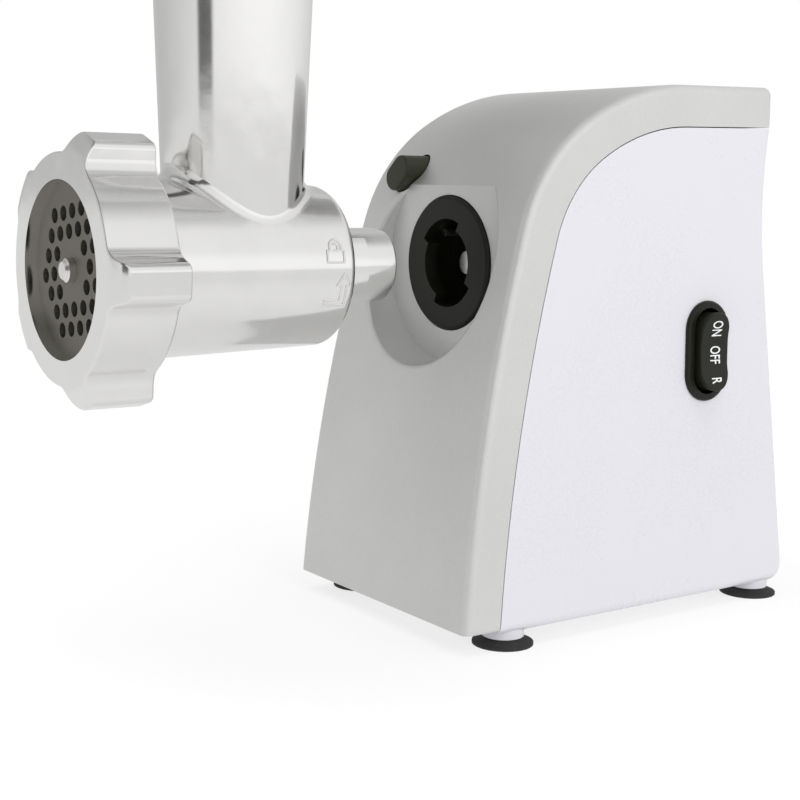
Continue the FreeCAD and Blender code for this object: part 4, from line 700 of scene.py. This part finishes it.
class GRINDER_OT_head(Operator):
    """Finish the head casting, the ring nut and the lock marks"""
    bl_idname = "grinder.head"
    bl_label = "Head"

    def execute(self, context):
        colours = context.scene.grinder_metal
        casting = polished_casting("Polished head", tuple(colours.casting), colours.ripple)
        nut = polished_casting("Polished nut", lighter(tuple(colours.casting), 0.98), colours.ripple * 1.2)
        paint("head_casting", casting)
        paint("ring_nut", nut)
        lock_marks(context.scene.grinder_marks, casting)
        return {"FINISHED"}


class GRINDER_OT_cutting(Operator):
    """Finish the plate, the knife, the worm and what they run in"""
    bl_idname = "grinder.cutting"
    bl_label = "Cutting Set"

    def execute(self, context):
        colours = context.scene.grinder_metal
        centre = (0, 0, AXIS_Z)
        paint("cutting_plate", turned_steel("Plate steel", tuple(colours.plate), centre, rough=0.46))
        paint("knife", turned_steel("Knife steel", lighter(tuple(colours.plate), 1.3), centre, rough=0.3))
        paint("worm", polished_casting("Worm casting", (0.72, 0.72, 0.72), 0.0002))
        paint("worm_pin", turned_steel("Pin steel", (0.78, 0.77, 0.75), centre, rough=0.14))
        nylon = natural_nylon("Bearing nylon", (0.78, 0.76, 0.70))
        paint_all(nylon, "thrust_washer", "spigot_bush")
        return {"FINISHED"}


class GRINDER_OT_top(Operator):
    """Finish the feed tray and the food pusher"""
    bl_idname = "grinder.top"
    bl_label = "Tray And Pusher"

    def execute(self, context):
        shell = tuple(context.scene.grinder_housing.shell)
        paint("feed_tray", brushed_sheet("Tray sheet", (0.80, 0.80, 0.80)))
        paint("food_pusher", moulded_gloss("Pusher plastic", shell, 0.3))
        return {"FINISHED"}


class GRINDER_OT_gears(Operator):
    """Finish the gearbox and the gears"""
    bl_idname = "grinder.gears"
    bl_label = "Gearbox"

    def execute(self, context):
        nylon = natural_nylon("Gear nylon", (0.74, 0.71, 0.62))
        paint_all(nylon, "first_wheel", "second_wheel", "output_wheel")
        steel = plated_steel("Gear steel", (0.5, 0.49, 0.47), 0.28)
        paint_all(steel, "motor_pinion", "first_pinion", "second_pinion")
        shaft = plated_steel("Shaft steel", (0.68, 0.67, 0.66), 0.16)
        paint_all(shaft, "first_shaft", "second_shaft", "output_shaft")
        paint_all(raw_casting("Gearbox alloy", (0.50, 0.50, 0.51)), "gearbox_housing", "gearbox_plate")
        paint("gearbox_screws", plated_steel("Gearbox screws", (0.6, 0.6, 0.62)))
        return {"FINISHED"}


class GRINDER_OT_motor(Operator):
    """Finish the motor's parts"""
    bl_idname = "grinder.motor"
    bl_label = "Motor"

    def execute(self, context):
        paint_all(laminations("Laminations", (0.32, 0.32, 0.33)), "stator_core", "armature_core")
        copper = wound_copper("Winding", (0.55, 0.22, 0.09))
        paint_all(copper, "field_coils", "armature_winding")
        paint("commutator", turned_steel("Commutator copper", (0.66, 0.34, 0.20), (0, 0, MOTOR_Z)))
        paint("armature_shaft", turned_steel("Motor shaft", (0.66, 0.66, 0.65), (0, 0, MOTOR_Z), rough=0.2))
        paint("cooling_fan", moulded_grain("Fan plastic", (0.03, 0.03, 0.03)))
        paint("motor_bracket", raw_casting("Bracket alloy", (0.5, 0.5, 0.51)))
        paint_all(plated_steel("Brass", (0.70, 0.50, 0.20), 0.25), "motor_bearings", "brush_holders")
        paint("carbon_brushes", pressed_carbon("Carbon", (0.03, 0.03, 0.03)))
        paint_all(plated_steel("Motor zinc", (0.6, 0.6, 0.62)), "motor_screws", "brush_springs")
        return {"FINISHED"}


def soft_box(name, power, place, size, aim=(0.0, 0.02, 0.12)):
    light = bpy.data.lights.new(name, "AREA")
    light.shape = "RECTANGLE"
    light.size = size[0]
    light.size_y = size[1]
    light.energy = power
    holder = bpy.data.objects.new(name, light)
    bpy.context.scene.collection.objects.link(holder)
    holder.location = place
    holder.rotation_euler = (Vector(place) - Vector(aim)).to_track_quat("Z", "Y").to_euler()
    holder.visible_glossy = False
    return holder


ROOM_BRIGHT_TURN = 10.0     # compass direction of the room's bright side, in degrees from +X
ROOM_DIM = 0.50             # level of the side away from it
ROOM_BRIGHT = 0.95
FLAG_TURN = -70.0           # one narrow dark flag stands there, for the polished metal
FLAG_HALF_WIDTH = 8.0
FLAG_SOFT = 6.0


class GRINDER_OT_stage(Operator):
    """Lay the floor, hang the soft boxes, light the room and set the camera"""
    bl_idname = "grinder.stage"
    bl_label = "Studio"

    def execute(self, context):
        settings = context.scene.grinder_studio
        self.floor()
        soft_box("Key soft box", settings.key, (1.6, 0.1, 0.9), (1.3, 1.3))
        soft_box("Fill soft box", settings.fill, (-0.5, -1.7, 0.8), (1.2, 1.0))
        soft_box("Left soft box", settings.left, (-0.8, -0.95, 1.7), (1.2, 1.2))
        soft_box("Top soft box", settings.top, (0.1, -0.1, 1.6), (1.2, 1.2))
        self.room(context.scene, settings.room)
        self.camera(context.scene, settings.lens)
        return {"FINISHED"}

    def floor(self):
        bm = bmesh.new()
        bmesh.ops.create_circle(bm, cap_ends=True, segments=96, radius=9.0)
        mesh = bpy.data.meshes.new("Floor")
        bm.to_mesh(mesh)
        bm.free()
        floor = bpy.data.objects.new("Floor", mesh)
        bpy.context.scene.collection.objects.link(floor)
        mesh.materials.append(pale_floor("Pale floor"))

    def room(self, scene, strength):
        """Pale room: brighter on one side than the other, with one dark flag for the metal to mirror."""
        world = bpy.data.worlds.new("Room")
        scene.world = world
        room = Finish("Room", world)
        direction = room.node("ShaderNodeTexCoord").outputs["Generated"]
        split = room.node("ShaderNodeSeparateXYZ", None, {"Vector": direction})
        x, y, z = [Flow(room.tree, split.outputs[k]) for k in range(3)]
        turn = y.math("ARCTAN2", x) * (180.0 / math.pi)
        towards = ((turn - ROOM_BRIGHT_TURN) * (math.pi / 180.0)).math("COSINE") * 0.5 + 0.5
        walls = ROOM_DIM + (ROOM_BRIGHT - ROOM_DIM) * towards
        flag = turn.band(FLAG_TURN, FLAG_HALF_WIDTH, FLAG_SOFT)
        by_height = 1.20 - 0.15 * z.step(0.14, 0.40) - 0.55 * z.step(0.66, 0.94)
        level = walls * by_height * (1.0 - 0.85 * flag)
        is_camera = Flow(room.tree, room.node("ShaderNodeLightPath").outputs["Is Camera Ray"])
        level = is_camera * 1.0 + (1.0 - is_camera) * level * strength
        background = room.tree.nodes["Background"]
        background.inputs["Color"].default_value = (1.0, 1.0, 1.0, 1.0)
        room.feed(background.inputs["Strength"], level)

    def camera(self, scene, lens):
        """Seen from the front and the switch side, a little from above, with a slight roll."""
        turn = math.radians(54.53)
        down = math.radians(8.38)
        roll = math.radians(1.125)
        forward = Vector((-math.sin(turn) * math.cos(down), math.cos(turn) * math.cos(down), -math.sin(down)))
        right = Vector((math.cos(turn), math.sin(turn), 0))
        up = right.cross(forward)
        tilted_right = right * math.cos(roll) + up * math.sin(roll)
        tilted_up = up * math.cos(roll) - right * math.sin(roll)
        data = bpy.data.cameras.new("Camera")
        data.lens = lens
        data.sensor_width = 36.0
        data.clip_start = 0.01
        camera = bpy.data.objects.new("Camera", data)
        scene.collection.objects.link(camera)
        rotation = Matrix((tilted_right, tilted_up, -forward)).transposed()
        camera.matrix_world = Matrix.Translation((0.45650, -0.33656, 0.16803)) @ rotation.to_4x4()
        scene.camera = camera


# ============================== panel and registration =====================================

class GRINDER_PT_panel(Panel):
    bl_idname = "GRINDER_PT_panel"
    bl_label = "Meat Grinder"
    bl_space_type = "VIEW_3D"
    bl_region_type = "UI"
    bl_category = "Grinder"

    def draw(self, context):
        layout = self.layout
        for group_name in GROUPS:
            group = getattr(context.scene, group_name)
            for field in group.bl_rna.properties:
                if field.identifier not in ("rna_type", "name"):
                    layout.prop(group, field.identifier)
        for operator in OPERATORS:
            layout.operator(operator.bl_idname)


GROUPS = {
    "grinder_housing": HousingColours,
    "grinder_metal": MetalColours,
    "grinder_marks": MarkSizes,
    "grinder_studio": StudioLight,
}
OPERATORS = (
    GRINDER_OT_housing, GRINDER_OT_socket, GRINDER_OT_switch, GRINDER_OT_head, GRINDER_OT_cutting,
    GRINDER_OT_top, GRINDER_OT_gears, GRINDER_OT_motor, GRINDER_OT_stage,
)


def register():
    for name, group in GROUPS.items():
        bpy.utils.register_class(group)
        setattr(bpy.types.Scene, name, PointerProperty(type=group))
    for operator in OPERATORS:
        bpy.utils.register_class(operator)
    bpy.utils.register_class(GRINDER_PT_panel)


def unregister():
    bpy.utils.unregister_class(GRINDER_PT_panel)
    for operator in reversed(OPERATORS):
        bpy.utils.unregister_class(operator)
    for name, group in GROUPS.items():
        delattr(bpy.types.Scene, name)
        bpy.utils.unregister_class(group)


def main():
    register()
    bpy.context.scene.view_settings.view_transform = "Standard"
    bpy.ops.grinder.housing()
    bpy.ops.grinder.socket()
    bpy.ops.grinder.switch()
    bpy.ops.grinder.head()
    bpy.ops.grinder.cutting()
    bpy.ops.grinder.top()
    bpy.ops.grinder.gears()
    bpy.ops.grinder.motor()
    bpy.ops.grinder.stage()


if __name__ == "__main__":
    main()
